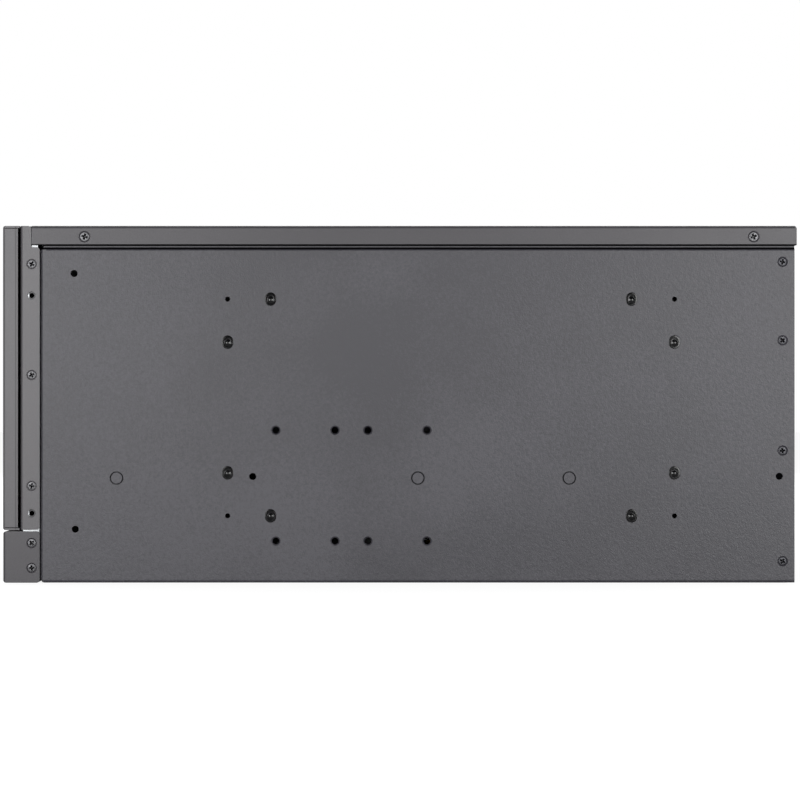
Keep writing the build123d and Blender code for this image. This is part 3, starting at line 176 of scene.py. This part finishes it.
def powderCoat(name, finish):
    # Black polyester powder baked on steel: a fine orange-peel grain that breaks up every highlight.
    # Where painted shade lies it is dull as well as dark, with its sheen taken away
    material, tree, shader, place = newMaterial(name)
    grain = addNode(tree, "TexNoise", {"Vector": place, "Scale": 1 / (finish["grain"] * mm), "Detail": 2})
    fine = addNode(tree, "TexNoise", {"Vector": place, "Scale": 1 / (finish["fine"] * mm), "Detail": 3})
    clouds = addNode(tree, "TexNoise", {"Vector": place, "Scale": 1 / (finish["clouds"] * mm), "Detail": 2})
    speckle = combine(tree, "ADD", [grain.outputs[0], fine.outputs[0]])
    patch = addNode(tree, "Math", {0: speckle, 1: clouds.outputs[0], 2: -0.25}, operation="MULTIPLY_ADD")
    share = addNode(tree, "MapRange", {0: patch.outputs[0], 1: 0.1, 2: 0.45, 3: 0, 4: 1})
    colour = addNode(tree, "Mix", {0: share.outputs[0], 6: hexColour(finish["colour"]),
                                   7: hexColour(finish["patch"])}, data_type="RGBA")
    tone = colour
    # Painted shade: the shaded spots and rings get a near-black colour and lose their sheen
    if "thinSpots" in finish:
        thin = inSpots(tree, place, finish["thinSpots"])
        if "rings" in finish:
            thin = combine(tree, "MAXIMUM", [thin, inShadeRings(tree, place, finish["rings"])])
        tone = addNode(tree, "Mix", {0: thin, 6: colour.outputs[2], 7: hexColour(finish["thin"])},
                       data_type="RGBA")
        gloss = addNode(tree, "MapRange", {0: thin, 1: 0, 2: 1, 3: finish["gloss"], 4: 0})
        tree.links.new(gloss.outputs[0], shader.inputs["Specular IOR Level"])
    tree.links.new(tone.outputs[2], shader.inputs["Base Color"])
    sheen = addNode(tree, "MapRange", {0: clouds.outputs[0], 1: 0.3, 2: 0.7,
                                       3: finish["roughness"] - 0.03, 4: finish["roughness"] + 0.04})
    tree.links.new(sheen.outputs[0], shader.inputs["Roughness"])
    bump = addNode(tree, "Bump", {"Height": speckle, "Strength": 0.6, "Distance": finish["depth"] * mm})
    tree.links.new(bump.outputs[0], shader.inputs["Normal"])
    shader.inputs["IOR"].default_value = 1.5
    return material


# Hot-dip zinc, with the sizes of its spangles, rolling lines and streaks in millimetres
zinc = {"colour": "8f9193", "patch": "a0a2a4", "dull": "3a3a3b", "spangle": 9, "rolling": 0.25, "streak": 25,
        "roughness": 0.38}
# Painted shade: darker round the tapped ear holes, but for the edge ahead of them, and along the rails behind
# the studs, seen through the shaded gaps
earHoles = {"heights": (34.4, 142.4), "from": front + 12.95, "to": front + 17.3, "around": 3, "skin": 1.1}
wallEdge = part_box("front_wall")[1].x / mm
zinc["dullSpots"] = [{"share": 1, "x": (x - earHoles["skin"], x + earHoles["skin"]),
                      "y": (earHoles["from"], earHoles["to"]),
                      "z": (z - earHoles["around"], z + earHoles["around"])}
                     for x in (wallEdge, -wallEdge) for z in earHoles["heights"]]
zinc["dullSpots"].append({"share": 1, "y": (front + 50, front + 290), "z": (48, 56)})


def zincCoatedSheet(name, finish):
    # Pale, cloudy spangles under fine rolling lines
    material, tree, shader, place = newMaterial(name)
    spangle = addNode(tree, "TexVoronoi", {"Vector": place, "Scale": 1 / (finish["spangle"] * mm)})
    along = 1 / (finish["streak"] * mm)
    lines = addNode(tree, "Mapping", {"Vector": place, "Scale": (along, along, 1 / (finish["rolling"] * mm))})
    rolled = addNode(tree, "TexNoise", {"Vector": lines.outputs[0], "Scale": 1, "Detail": 3})
    colour = addNode(tree, "Mix", {0: spangle.outputs["Color"], 6: hexColour(finish["colour"]),
                                   7: hexColour(finish["patch"])}, data_type="RGBA")
    # Painted shade: the zinc is darkened in the shaded spots
    dull = inSpots(tree, place, finish["dullSpots"])
    tone = addNode(tree, "Mix", {0: dull, 6: colour.outputs[2], 7: hexColour(finish["dull"])},
                   data_type="RGBA")
    tree.links.new(tone.outputs[2], shader.inputs["Base Color"])
    rough = addNode(tree, "MapRange", {0: rolled.outputs[0], 1: 0.3, 2: 0.7,
                                       3: finish["roughness"] - 0.06, 4: finish["roughness"] + 0.08})
    tree.links.new(rough.outputs[0], shader.inputs["Roughness"])
    bump = addNode(tree, "Bump", {"Height": rolled.outputs[0], "Strength": 0.25, "Distance": 0.01 * mm})
    tree.links.new(bump.outputs[0], shader.inputs["Normal"])
    shader.inputs["Metallic"].default_value = 1
    return material


def platedMetal(name, colour, patch, roughness, grain):
    # Small turned and pressed metal parts: even plating with faint tool marks
    material, tree, shader, place = newMaterial(name)
    marks = addNode(tree, "TexNoise", {"Vector": place, "Scale": 1 / (grain * mm), "Detail": 3})
    tone = addNode(tree, "Mix", {0: marks.outputs[0], 6: hexColour(colour), 7: hexColour(patch)},
                   data_type="RGBA")
    tree.links.new(tone.outputs[2], shader.inputs["Base Color"])
    rough = addNode(tree, "MapRange", {0: marks.outputs[0], 1: 0.3, 2: 0.7,
                                       3: roughness * 0.8, 4: roughness * 1.2})
    tree.links.new(rough.outputs[0], shader.inputs["Roughness"])
    bump = addNode(tree, "Bump", {"Height": marks.outputs[0], "Strength": 0.2, "Distance": 0.01 * mm})
    tree.links.new(bump.outputs[0], shader.inputs["Normal"])
    shader.inputs["Metallic"].default_value = 1
    return material


flowMarks = 40  # millimetres across the faint clouds where the melt flowed


def mouldedPlastic(name, colour, patch, roughness, grain, depth, ior=1.53):
    # Injection moulded: the tool's spark-eroded grain, or a polish where the depth is nothing much
    material, tree, shader, place = newMaterial(name)
    skin = addNode(tree, "TexNoise", {"Vector": place, "Scale": 1 / (grain * mm), "Detail": 2})
    flow = addNode(tree, "TexNoise", {"Vector": place, "Scale": 1 / (flowMarks * mm), "Detail": 1})
    tone = addNode(tree, "Mix", {0: flow.outputs[0], 6: hexColour(colour), 7: hexColour(patch)},
                   data_type="RGBA")
    tree.links.new(tone.outputs[2], shader.inputs["Base Color"])
    rough = addNode(tree, "MapRange", {0: skin.outputs[0], 1: 0.3, 2: 0.7,
                                       3: roughness * 0.9, 4: roughness * 1.1})
    tree.links.new(rough.outputs[0], shader.inputs["Roughness"])
    bump = addNode(tree, "Bump", {"Height": skin.outputs[0], "Strength": 0.5, "Distance": depth * mm})
    tree.links.new(bump.outputs[0], shader.inputs["Normal"])
    shader.inputs["IOR"].default_value = ior
    return material


foam = {"colour": "101011", "strut": "2a2a2b", "cell": 1.3, "depth": 0.6, "roughness": 0.9}


def openCellFoam(name, finish):
    # Reticulated polyurethane: a net of struts round dark cells, drawn coarse enough to show
    material, tree, shader, place = newMaterial(name)
    cells = addNode(tree, "TexVoronoi", {"Vector": place, "Scale": 1 / (finish["cell"] * mm)},
                    feature="DISTANCE_TO_EDGE")
    strut = addNode(tree, "MapRange", {0: cells.outputs["Distance"], 1: 0.04, 2: 0.2, 3: 1, 4: 0})
    tone = addNode(tree, "Mix", {0: strut.outputs[0], 6: hexColour(finish["colour"]),
                                 7: hexColour(finish["strut"])}, data_type="RGBA")
    tree.links.new(tone.outputs[2], shader.inputs["Base Color"])
    bump = addNode(tree, "Bump", {"Height": strut.outputs[0], "Strength": 1,
                                  "Distance": finish["depth"] * mm})
    tree.links.new(bump.outputs[0], shader.inputs["Normal"])
    shader.inputs["Roughness"].default_value = finish["roughness"]
    return material


def clearPolycarbonate(name):
    # Moulded light pipe: clear, with a haze about a millimetre across where the mould was dulled
    material, tree, shader, place = newMaterial(name)
    haze = addNode(tree, "TexNoise", {"Vector": place, "Scale": 1 / (1.11 * mm), "Detail": 1})
    rough = addNode(tree, "MapRange", {0: haze.outputs[0], 1: 0.3, 2: 0.7, 3: 0.08, 4: 0.2})
    tree.links.new(rough.outputs[0], shader.inputs["Roughness"])
    shader.inputs["Base Color"].default_value = hexColour("dfe6ea")
    shader.inputs["Transmission Weight"].default_value = 0.8
    shader.inputs["IOR"].default_value = 1.58
    return material


def solderMaskedBoard(name):
    # Green solder mask over glass cloth, whose weave shows faintly, drawn 1.6 mm apart so that it does
    material, tree, shader, place = newMaterial(name)
    weave = addNode(tree, "TexWave", {"Vector": place, "Scale": 1 / (1.6 * mm), "Distortion": 1})
    tone = addNode(tree, "Mix", {0: weave.outputs["Fac"], 6: hexColour("0f3d24"), 7: hexColour("14492c")},
                   data_type="RGBA")
    tree.links.new(tone.outputs[2], shader.inputs["Base Color"])
    shader.inputs["Roughness"].default_value = 0.3
    return material


finishes = {
    "sidePaint": powderCoat("texturedPowderCoat", sidePaint),
    "doorPaint": powderCoat("smoothPowderCoat", doorPaint),
    "coverPaint": powderCoat("coverPowderCoat", coverPaint),
    "rearPaint": powderCoat("rearPowderCoat", rearPaint),
    "paint": powderCoat("powderCoat", paint),
    "zinc": zincCoatedSheet("zincCoatedSheet", zinc),
    "bright_steel": platedMetal("brightZincPlate", "59595b", "676769", roughness=0.42, grain=0.35),
    "chrome": platedMetal("chromePlate", "d4d4d6", "dcdcde", roughness=0.1, grain=0.8),
    "black_steel": platedMetal("blackOxideSteel", "404043", "4e4e51", roughness=0.42, grain=0.3),
    "aluminium": platedMetal("plainAluminium", "bcbcbe", "c8c8ca", roughness=0.35, grain=0.4),
    "brass": platedMetal("turnedBrass", "b2924f", "c2a25e", roughness=0.28, grain=0.3),
    "black_plastic": mouldedPlastic("satinAbs", "1b1b1d", "202022", roughness=0.45, grain=0.35, depth=0.02),
    "gloss_black": mouldedPlastic("polishedAbs", "050506", "09090b", roughness=0.14, grain=0.6, depth=0.002,
                                  ior=1.38),
    "nylon": mouldedPlastic("naturalNylon", "d6d2c4", "dcd8cc", roughness=0.4, grain=0.5, depth=0.005),
    "foam": openCellFoam("openCellFoam", foam),
    "board": solderMaskedBoard("solderMask"),
    "lens": clearPolycarbonate("clearPolycarbonate"),
}
slotOf = {row["node"]: row["material_slot"] for row in frame["record"]["subparts"]}
otherPaint = {"chassis_body": "sidePaint", "side_studs": "sidePaint", "front_door": "doorPaint",
              "front_panel": "doorPaint", "top_cover": "coverPaint", "rear_panel": "rearPaint"}


def giveFinish(piece, finish):
    piece.data.materials.clear()
    piece.data.materials.append(finishes[finish])


for nodeName, node in nodes.items():
    giveFinish(node, otherPaint.get(nodeName, slotOf[nodeName]))
print("finishes given to the frame's nodes")


# Modelling helpers: work starts from a primitive, with nothing else selected
def deselectAll():
    bpy.ops.object.select_all(action="DESELECT")


def makeActive(piece):
    deselectAll()
    piece.select_set(True)
    bpy.context.view_layer.objects.active = piece


def applyModifier(piece, kind, **settings):
    makeActive(piece)
    bpy.ops.object.modifier_add(type=kind)
    modifier = piece.modifiers[-1]
    for name, value in settings.items():
        setattr(modifier, name, value)
    bpy.ops.object.modifier_apply(modifier=modifier.name)


def selectWhere(parts, wanted):
    # Edit mode is left and entered again, because a selection made in code is read on entering
    bpy.ops.mesh.select_all(action="DESELECT")
    bpy.ops.object.mode_set(mode="OBJECT")
    for part in getattr(bpy.context.object.data, parts):
        part.select = wanted(part)
    bpy.ops.object.mode_set(mode="EDIT")


def raiseRing(dz, factor, z):
    # Pull the selected end face up and draw it in or out
    bpy.ops.mesh.extrude_region_move(TRANSFORM_OT_translate={"value": (0, 0, dz)})
    bpy.ops.transform.resize(value=(factor, factor, 1), center_override=(0, 0, z))


def turnUp(name, rings, segments=32):
    # A round piece built upwards from a disc; each ring is a radius and a height in millimetres
    deselectAll()
    (radius, z), rest = rings[0], rings[1:]
    bpy.ops.mesh.primitive_circle_add(vertices=segments, radius=radius * mm, fill_type="NGON")
    piece = bpy.context.object
    piece.name = name
    bpy.ops.object.mode_set(mode="EDIT")
    bpy.ops.transform.translate(value=(0, 0, z * mm))
    for nextRadius, nextZ in rest:
        raiseRing((nextZ - z) * mm, nextRadius / radius, nextZ * mm)
        radius, z = nextRadius, nextZ
    bpy.ops.mesh.select_all(action="SELECT")
    bpy.ops.mesh.normals_make_consistent(inside=False)
    bpy.ops.object.mode_set(mode="OBJECT")
    return piece


def cutWith(piece, cutter):
    applyModifier(piece, "BOOLEAN", operation="DIFFERENCE", object=cutter, solver="EXACT")
    bpy.data.objects.remove(cutter)


def looseBoxes(nodeName):
    # Lowest and highest corner of each separate solid in a node
    copy = nodes[nodeName].copy()
    copy.data = copy.data.copy()
    bpy.context.collection.objects.link(copy)
    makeActive(copy)
    bpy.ops.object.mode_set(mode="EDIT")
    bpy.ops.mesh.select_all(action="SELECT")
    bpy.ops.mesh.remove_doubles(threshold=0.001 * mm)
    bpy.ops.mesh.separate(type="LOOSE")
    bpy.ops.object.mode_set(mode="OBJECT")
    boxes = []
    for solid in list(bpy.context.selected_objects):
        corners = [vertex.co for vertex in solid.data.vertices]
        boxes.append((Vector([min(c[i] for c in corners) for i in range(3)]),
                      Vector([max(c[i] for c in corners) for i in range(3)])))
        bpy.data.objects.remove(solid)
    return boxes


def placeCopies(model, places, name):
    # One copy of the model, with its own mesh, at each place; then all of them joined
    copies = []
    for place in places:
        copy = model.copy()
        copy.data = model.data.copy()
        copy.data.transform(place)
        bpy.context.collection.objects.link(copy)
        copies.append(copy)
    bpy.data.objects.remove(model)
    makeActive(copies[0])
    for copy in copies:
        copy.select_set(True)
    bpy.ops.object.join()
    joined = bpy.context.object
    joined.name = name
    return joined


def bodyOf(nodeName):
    return next(body for body, members in frame["record"]["behaviour"]["bodies"].items()
                if nodeName in members)


smoothBelow = 35  # degrees between two faces


def standFor(piece, nodeName):
    # The piece takes over from a node: same body, same slot, smooth where its faces turn gently
    makeActive(piece)
    bpy.ops.object.shade_smooth_by_angle(angle=radians(smoothBelow))
    giveFinish(piece, slotOf[nodeName])
    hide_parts(nodeName)
    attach(piece, bodyOf(nodeName))


# Cross-recessed screws, in millimetres. The recess tapers to its tip's share of its mouth. A thread has
# rings of a radius at shares of its pitch
recess = {"wing": 5.1, "width": 1.75, "depth": 1.9, "tip": 0.1}
thread = {"pitch": 0.5, "point": 0.9, "shank": 1.48, "rings": ((0.2, 1.22), (0.65, 1.49), (0.95, 1.22))}
# A flat head's rim has insets from its radius, each at a height. A pan head is a dome on a low edge
flatHead = {"neck": 1.38, "rim": ((0.02, -0.26), (0, -0.2), (0.06, -0.1), (0.18, -0.02), (0.32, 0.01)),
            "top": 0.02, "recessFits": 2.05}
panHead = {"foot": 0.97, "edge": 0.15, "flat": 0.25, "dome": (20, 40, 58, 72, 82), "recess": 1.1}


def cutCross(piece, top, size):
    wing, width, depth = (recess[name] * size * mm for name in ("wing", "width", "depth"))
    for turn in (0, 90):
        deselectAll()
        bpy.ops.mesh.primitive_cube_add(size=1)
        cutter = bpy.context.object
        bpy.ops.object.mode_set(mode="EDIT")
        bpy.ops.transform.resize(value=(wing, width, 2 * depth))
        selectWhere("polygons", lambda face: face.normal.z < -0.9)
        bpy.ops.transform.resize(value=(recess["tip"], recess["tip"], 1))
        bpy.ops.mesh.select_all(action="SELECT")
        bpy.ops.transform.rotate(value=radians(turn), orient_axis="Z", center_override=(0, 0, 0))
        bpy.ops.transform.translate(value=(0, 0, top * mm))
        bpy.ops.object.mode_set(mode="OBJECT")
        cutWith(piece, cutter)


def threadRings(fromZ, toZ):
    rings = [(thread["point"], fromZ)]
    for turn in range(int((toZ - fromZ) / thread["pitch"])):
        rings += [(radius, fromZ + (turn + share) * thread["pitch"]) for share, radius in thread["rings"]]
    return rings


def flatScrew(name, head, length):
    neck = flatHead["neck"] - head
    rings = threadRings(-length, neck - 0.1) + [(thread["shank"], neck)]
    rings += [(head - inset, z) for inset, z in flatHead["rim"]] + [(head * 0.5, flatHead["top"])]
    screw = turnUp(name, rings)
    cutCross(screw, flatHead["top"], head / flatHead["recessFits"])
    return screw


def panScrew(name, head, height, length):
    edge, flat = panHead["edge"], panHead["flat"]
    rings = threadRings(-length, -edge) + [(thread["shank"], -0.02)]
    rings += [(head * panHead["foot"], 0), (head, edge)]
    for angle in panHead["dome"]:
        across, up = cos(radians(angle)), sin(radians(angle))
        rings.append((head * (flat + (1 - flat) * across), edge + (height - edge) * up))
    screw = turnUp(name, rings)
    cutCross(screw, height, panHead["recess"])
    return screw


# Outward direction, head radius and length of each kind, in millimetres
screwKinds = {
    "front_screws": {"outward": "side", "head": 2.05, "length": 6},
    "cover_screws": {"outward": "side", "head": 2.35, "length": 6},
    "rear_side_screws": {"outward": "side", "head": 2.05, "length": 6},
    "rear_panel_screws": {"outward": (0, 1, 0), "head": 2.75, "height": 0.8, "length": 5},
    "slot_screws": {"outward": (0, 0, 1), "head": 2.75, "height": 2, "length": 6},
    "fan_screws": {"outward": (0, -1, 0), "head": 2.75, "height": 2, "length": 5},
    "cage_screws": {"outward": (0, -1, 0), "head": 2.75, "height": 2, "length": 5},
}
turnOfScrew = 37  # degrees on from the screw before, as each stopped at its own angle


def makeScrews(nodeName, kind):
    isPan = "height" in kind
    if isPan:
        model = panScrew(nodeName, kind["head"], kind["height"], kind["length"])
    else:
        model = flatScrew(nodeName, kind["head"], kind["length"])
    places = []
    for index, (low, high) in enumerate(sorted(looseBoxes(nodeName), key=lambda box: tuple(box[0]))):
        middle = (low + high) / 2
        outward = kind["outward"]
        axis = Vector((1 if middle.x > 0 else -1, 0, 0)) if outward == "side" else Vector(outward)
        reach = max(axis.dot(low), axis.dot(high)) - (kind["height"] * mm if isPan else 0)
        seatAt = middle + axis * (reach - axis.dot(middle))
        spin = Matrix.Rotation(radians(turnOfScrew * index), 4, "Z")
        lean = Vector((0, 0, 1)).rotation_difference(axis).to_matrix().to_4x4()
        places.append(Matrix.Translation(seatAt) @ lean @ spin)
    standFor(placeCopies(model, places, "detailed_" + nodeName), nodeName)


for nodeName, kind in screwKinds.items():
    makeScrews(nodeName, kind)
print("screws modelled")


# Plugs in the side holes: an oblong snap-in cap, dished round a polished dome, on a stem with snap lips.
# The cap has heights in millimetres and shares of its outline, the stem has steps down and factors
plug = {"width": 5.5, "height": 6.7, "corners": 42, "domeFoot": 0.62, "domeDrop": 0.4,
        "cap": ((0.12, 1), (0.2, 0.975), (0.24, 0.94), (0.25, 0.9), (0.25, 0.69), (0, 0.65), (-0.1, 0.62),
                (-0.065, 0.55), (0.02, 0.48), (0.108, 0.4), (0.187, 0.31), (0.243, 0.22), (0.283, 0.12),
                (0.297, 0.05)),
        "stem": ((-0.01, 0.78), (-1.5, 1), (-0.3, 1.1), (-0.9, 0.8))}


def makeSidePlugs():
    radius, stretch = plug["width"] / 2, plug["height"] - plug["width"]
    deselectAll()
    bpy.ops.mesh.primitive_circle_add(vertices=plug["corners"], radius=radius * mm, fill_type="NGON")
    model = bpy.context.object
    bpy.ops.object.mode_set(mode="EDIT")
    selectWhere("vertices", lambda vertex: vertex.co.y > 0.01 * mm)
    bpy.ops.transform.translate(value=(0, stretch * mm, 0))
    bpy.ops.mesh.select_all(action="SELECT")
    bpy.ops.transform.translate(value=(0, -stretch / 2 * mm, 0))
    z, share = 0, 1
    for nextZ, nextShare in plug["cap"]:
        raiseRing((nextZ - z) * mm, nextShare / share, nextZ * mm)
        if nextShare == plug["domeFoot"]:  # round from here up
            bpy.ops.transform.resize(value=(1, plug["width"] / plug["height"], 1), center_override=(0, 0, 0))
        z, share = nextZ, nextShare
    domeReach = plug["domeFoot"] * radius * 1.05 * mm  # a little past the dome's foot
    selectWhere("vertices", lambda vertex: vertex.co.xy.length < domeReach)
    bpy.ops.transform.translate(value=(0, -plug["domeDrop"] * mm, 0))
    selectWhere("polygons", lambda face: face.normal.z < -0.9 and abs(face.center.z) < 0.01 * mm)
    for dz, factor in plug["stem"]:
        raiseRing(dz * mm, factor, 0)
    bpy.ops.mesh.select_all(action="SELECT")
    bpy.ops.mesh.normals_make_consistent(inside=False)
    bpy.ops.object.mode_set(mode="OBJECT")
    places = []
    for low, high in sorted(looseBoxes("side_plugs"), key=lambda box: tuple(box[0])):
        outward = 1 if low.x > 0 else -1
        middle = (low + high) / 2
        seatAt = Vector((outward * casingRight, middle.y, middle.z))
        upright = Matrix(((0, 0, outward, 0), (outward, 0, 0, 0), (0, 1, 0, 0), (0, 0, 0, 1)))
        places.append(Matrix.Translation(seatAt) @ upright)
    standFor(placeCopies(model, places, "detailed_side_plugs"), "side_plugs")


makeSidePlugs()
print("side plugs modelled")


# Foam in the door: a thin sheet with its cut edges softened
filterPad = {"edge": 0.5, "segments": 2}


def makeFilter():
    low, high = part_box("door_filter")
    middle = (low + high) / 2
    deselectAll()
    bpy.ops.mesh.primitive_cube_add(size=1)
    pad = bpy.context.object
    bpy.ops.object.mode_set(mode="EDIT")
    bpy.ops.transform.resize(value=tuple(high - low))
    bpy.ops.transform.translate(value=tuple(middle))
    bpy.ops.object.mode_set(mode="OBJECT")
    applyModifier(pad, "BEVEL", width=filterPad["edge"] * mm, segments=filterPad["segments"])
    pad.name = "foam_filter"
    standFor(pad, "door_filter")


makeFilter()
print("filter modelled")


# Studio: pale floor, two soft key lamps either side of the camera, three round the case and one above
lamps = {
    "keyFront": {"azimuth": 70, "rise": 6, "power": 9.2, "size": 0.5},
    "keyRear": {"azimuth": 110, "rise": 6, "power": 9, "size": 0.5},
    "left": {"azimuth": 270, "rise": 25, "power": 11, "size": 1},
    "front": {"azimuth": 350, "rise": 38, "power": 5, "size": 0.9},
    "rear": {"azimuth": 190, "rise": 38, "power": 5, "size": 0.9},
    "above": {"azimuth": 270, "rise": 64, "power": 6, "size": 1.1},
}
studio = {"lampDistance": 1.6, "lampAim": 0.09, "worldLevel": 0.3, "farSide": 0.3, "farSideTo": -0.9,
          "darkSide": 0.05, "darkSideFrom": -0.4, "floorSize": 12, "floorBelow": 0.1, "floorColour": "c0c0c0",
          "floorFaint": 0.24, "floorGlow": 0.87, "floorMirrored": 0.15}


def makeWorld():
    # White to the camera and through clear plastic. Reflections see a pale backdrop on the far side
    # and a dim room with the lamps on the camera's side
    world = bpy.data.worlds.new("studio")
    bpy.context.scene.world = world
    world.use_nodes = True
    tree = world.node_tree
    tree.nodes.clear()
    path = addNode(tree, "LightPath")
    way = addNode(tree, "SeparateXYZ", {0: addNode(tree, "TexCoord").outputs["Generated"]})
    room = addNode(tree, "MapRange", {0: way.outputs[0], 1: studio["farSideTo"], 2: studio["darkSideFrom"],
                                      3: studio["farSide"], 4: studio["darkSide"]})
    unseen = addNode(tree, "Mix", {0: path.outputs["Is Glossy Ray"], 2: studio["worldLevel"],
                                   3: room.outputs[0]})
    seen = combine(tree, "MAXIMUM", [path.outputs["Is Camera Ray"], path.outputs["Is Transmission Ray"]])
    level = addNode(tree, "Mix", {0: seen, 2: unseen.outputs[0], 3: 1})
    light = addNode(tree, "Background", {"Color": (1, 1, 1, 1), "Strength": level.outputs[0]})
    out = addNode(tree, "OutputWorld")
    tree.links.new(light.outputs[0], out.inputs[0])


def makeFloor():
    # Pale by its own glow where it is seen, and plain where it throws light on the case
    deselectAll()
    bpy.ops.mesh.primitive_plane_add(size=studio["floorSize"], location=(0, 0, -studio["floorBelow"] * mm))
    floor = bpy.context.object
    floor.name = "floor"
    material = bpy.data.materials.new("paleFloor")
    material.use_nodes = True
    tree = material.node_tree
    tree.nodes.clear()
    path = addNode(tree, "LightPath")
    mirrored = combine(tree, "MULTIPLY", [path.outputs["Is Glossy Ray"], studio["floorMirrored"]])
    seen = combine(tree, "MAXIMUM", [path.outputs["Is Camera Ray"], path.outputs["Is Transmission Ray"],
                                     mirrored])
    plain = addNode(tree, "BsdfDiffuse", {"Color": hexColour(studio["floorColour"])})
    faint = addNode(tree, "BsdfDiffuse", {"Color": (studio["floorFaint"],) * 3 + (1,)})
    glow = addNode(tree, "Emission", {"Color": (1, 1, 1, 1), "Strength": studio["floorGlow"]})
    lit = addNode(tree, "AddShader", {0: faint.outputs[0], 1: glow.outputs[0]})
    both = addNode(tree, "MixShader", {0: seen, 1: plain.outputs[0], 2: lit.outputs[0]})
    out = addNode(tree, "OutputMaterial")
    tree.links.new(both.outputs[0], out.inputs[0])
    floor.data.materials.append(material)


def makeLamps():
    target = Vector((0, 0, studio["lampAim"]))
    for name, lamp in lamps.items():
        a, e = radians(lamp["azimuth"]), radians(lamp["rise"])
        away = Vector((sin(a) * cos(e), -cos(a) * cos(e), sin(e)))
        bpy.ops.object.light_add(type="AREA", location=target + away * studio["lampDistance"])
        light = bpy.context.object
        light.name = name
        light.rotation_mode = "QUATERNION"
        light.rotation_quaternion = away.to_track_quat("Z", "Y")
        light.data.shape = "SQUARE"
        light.data.energy = lamp["power"]
        light.data.size = lamp["size"]


makeCamera()
makeWorld()
makeFloor()
makeLamps()
bpy.context.scene.view_settings.view_transform = "Standard"
print("studio set")
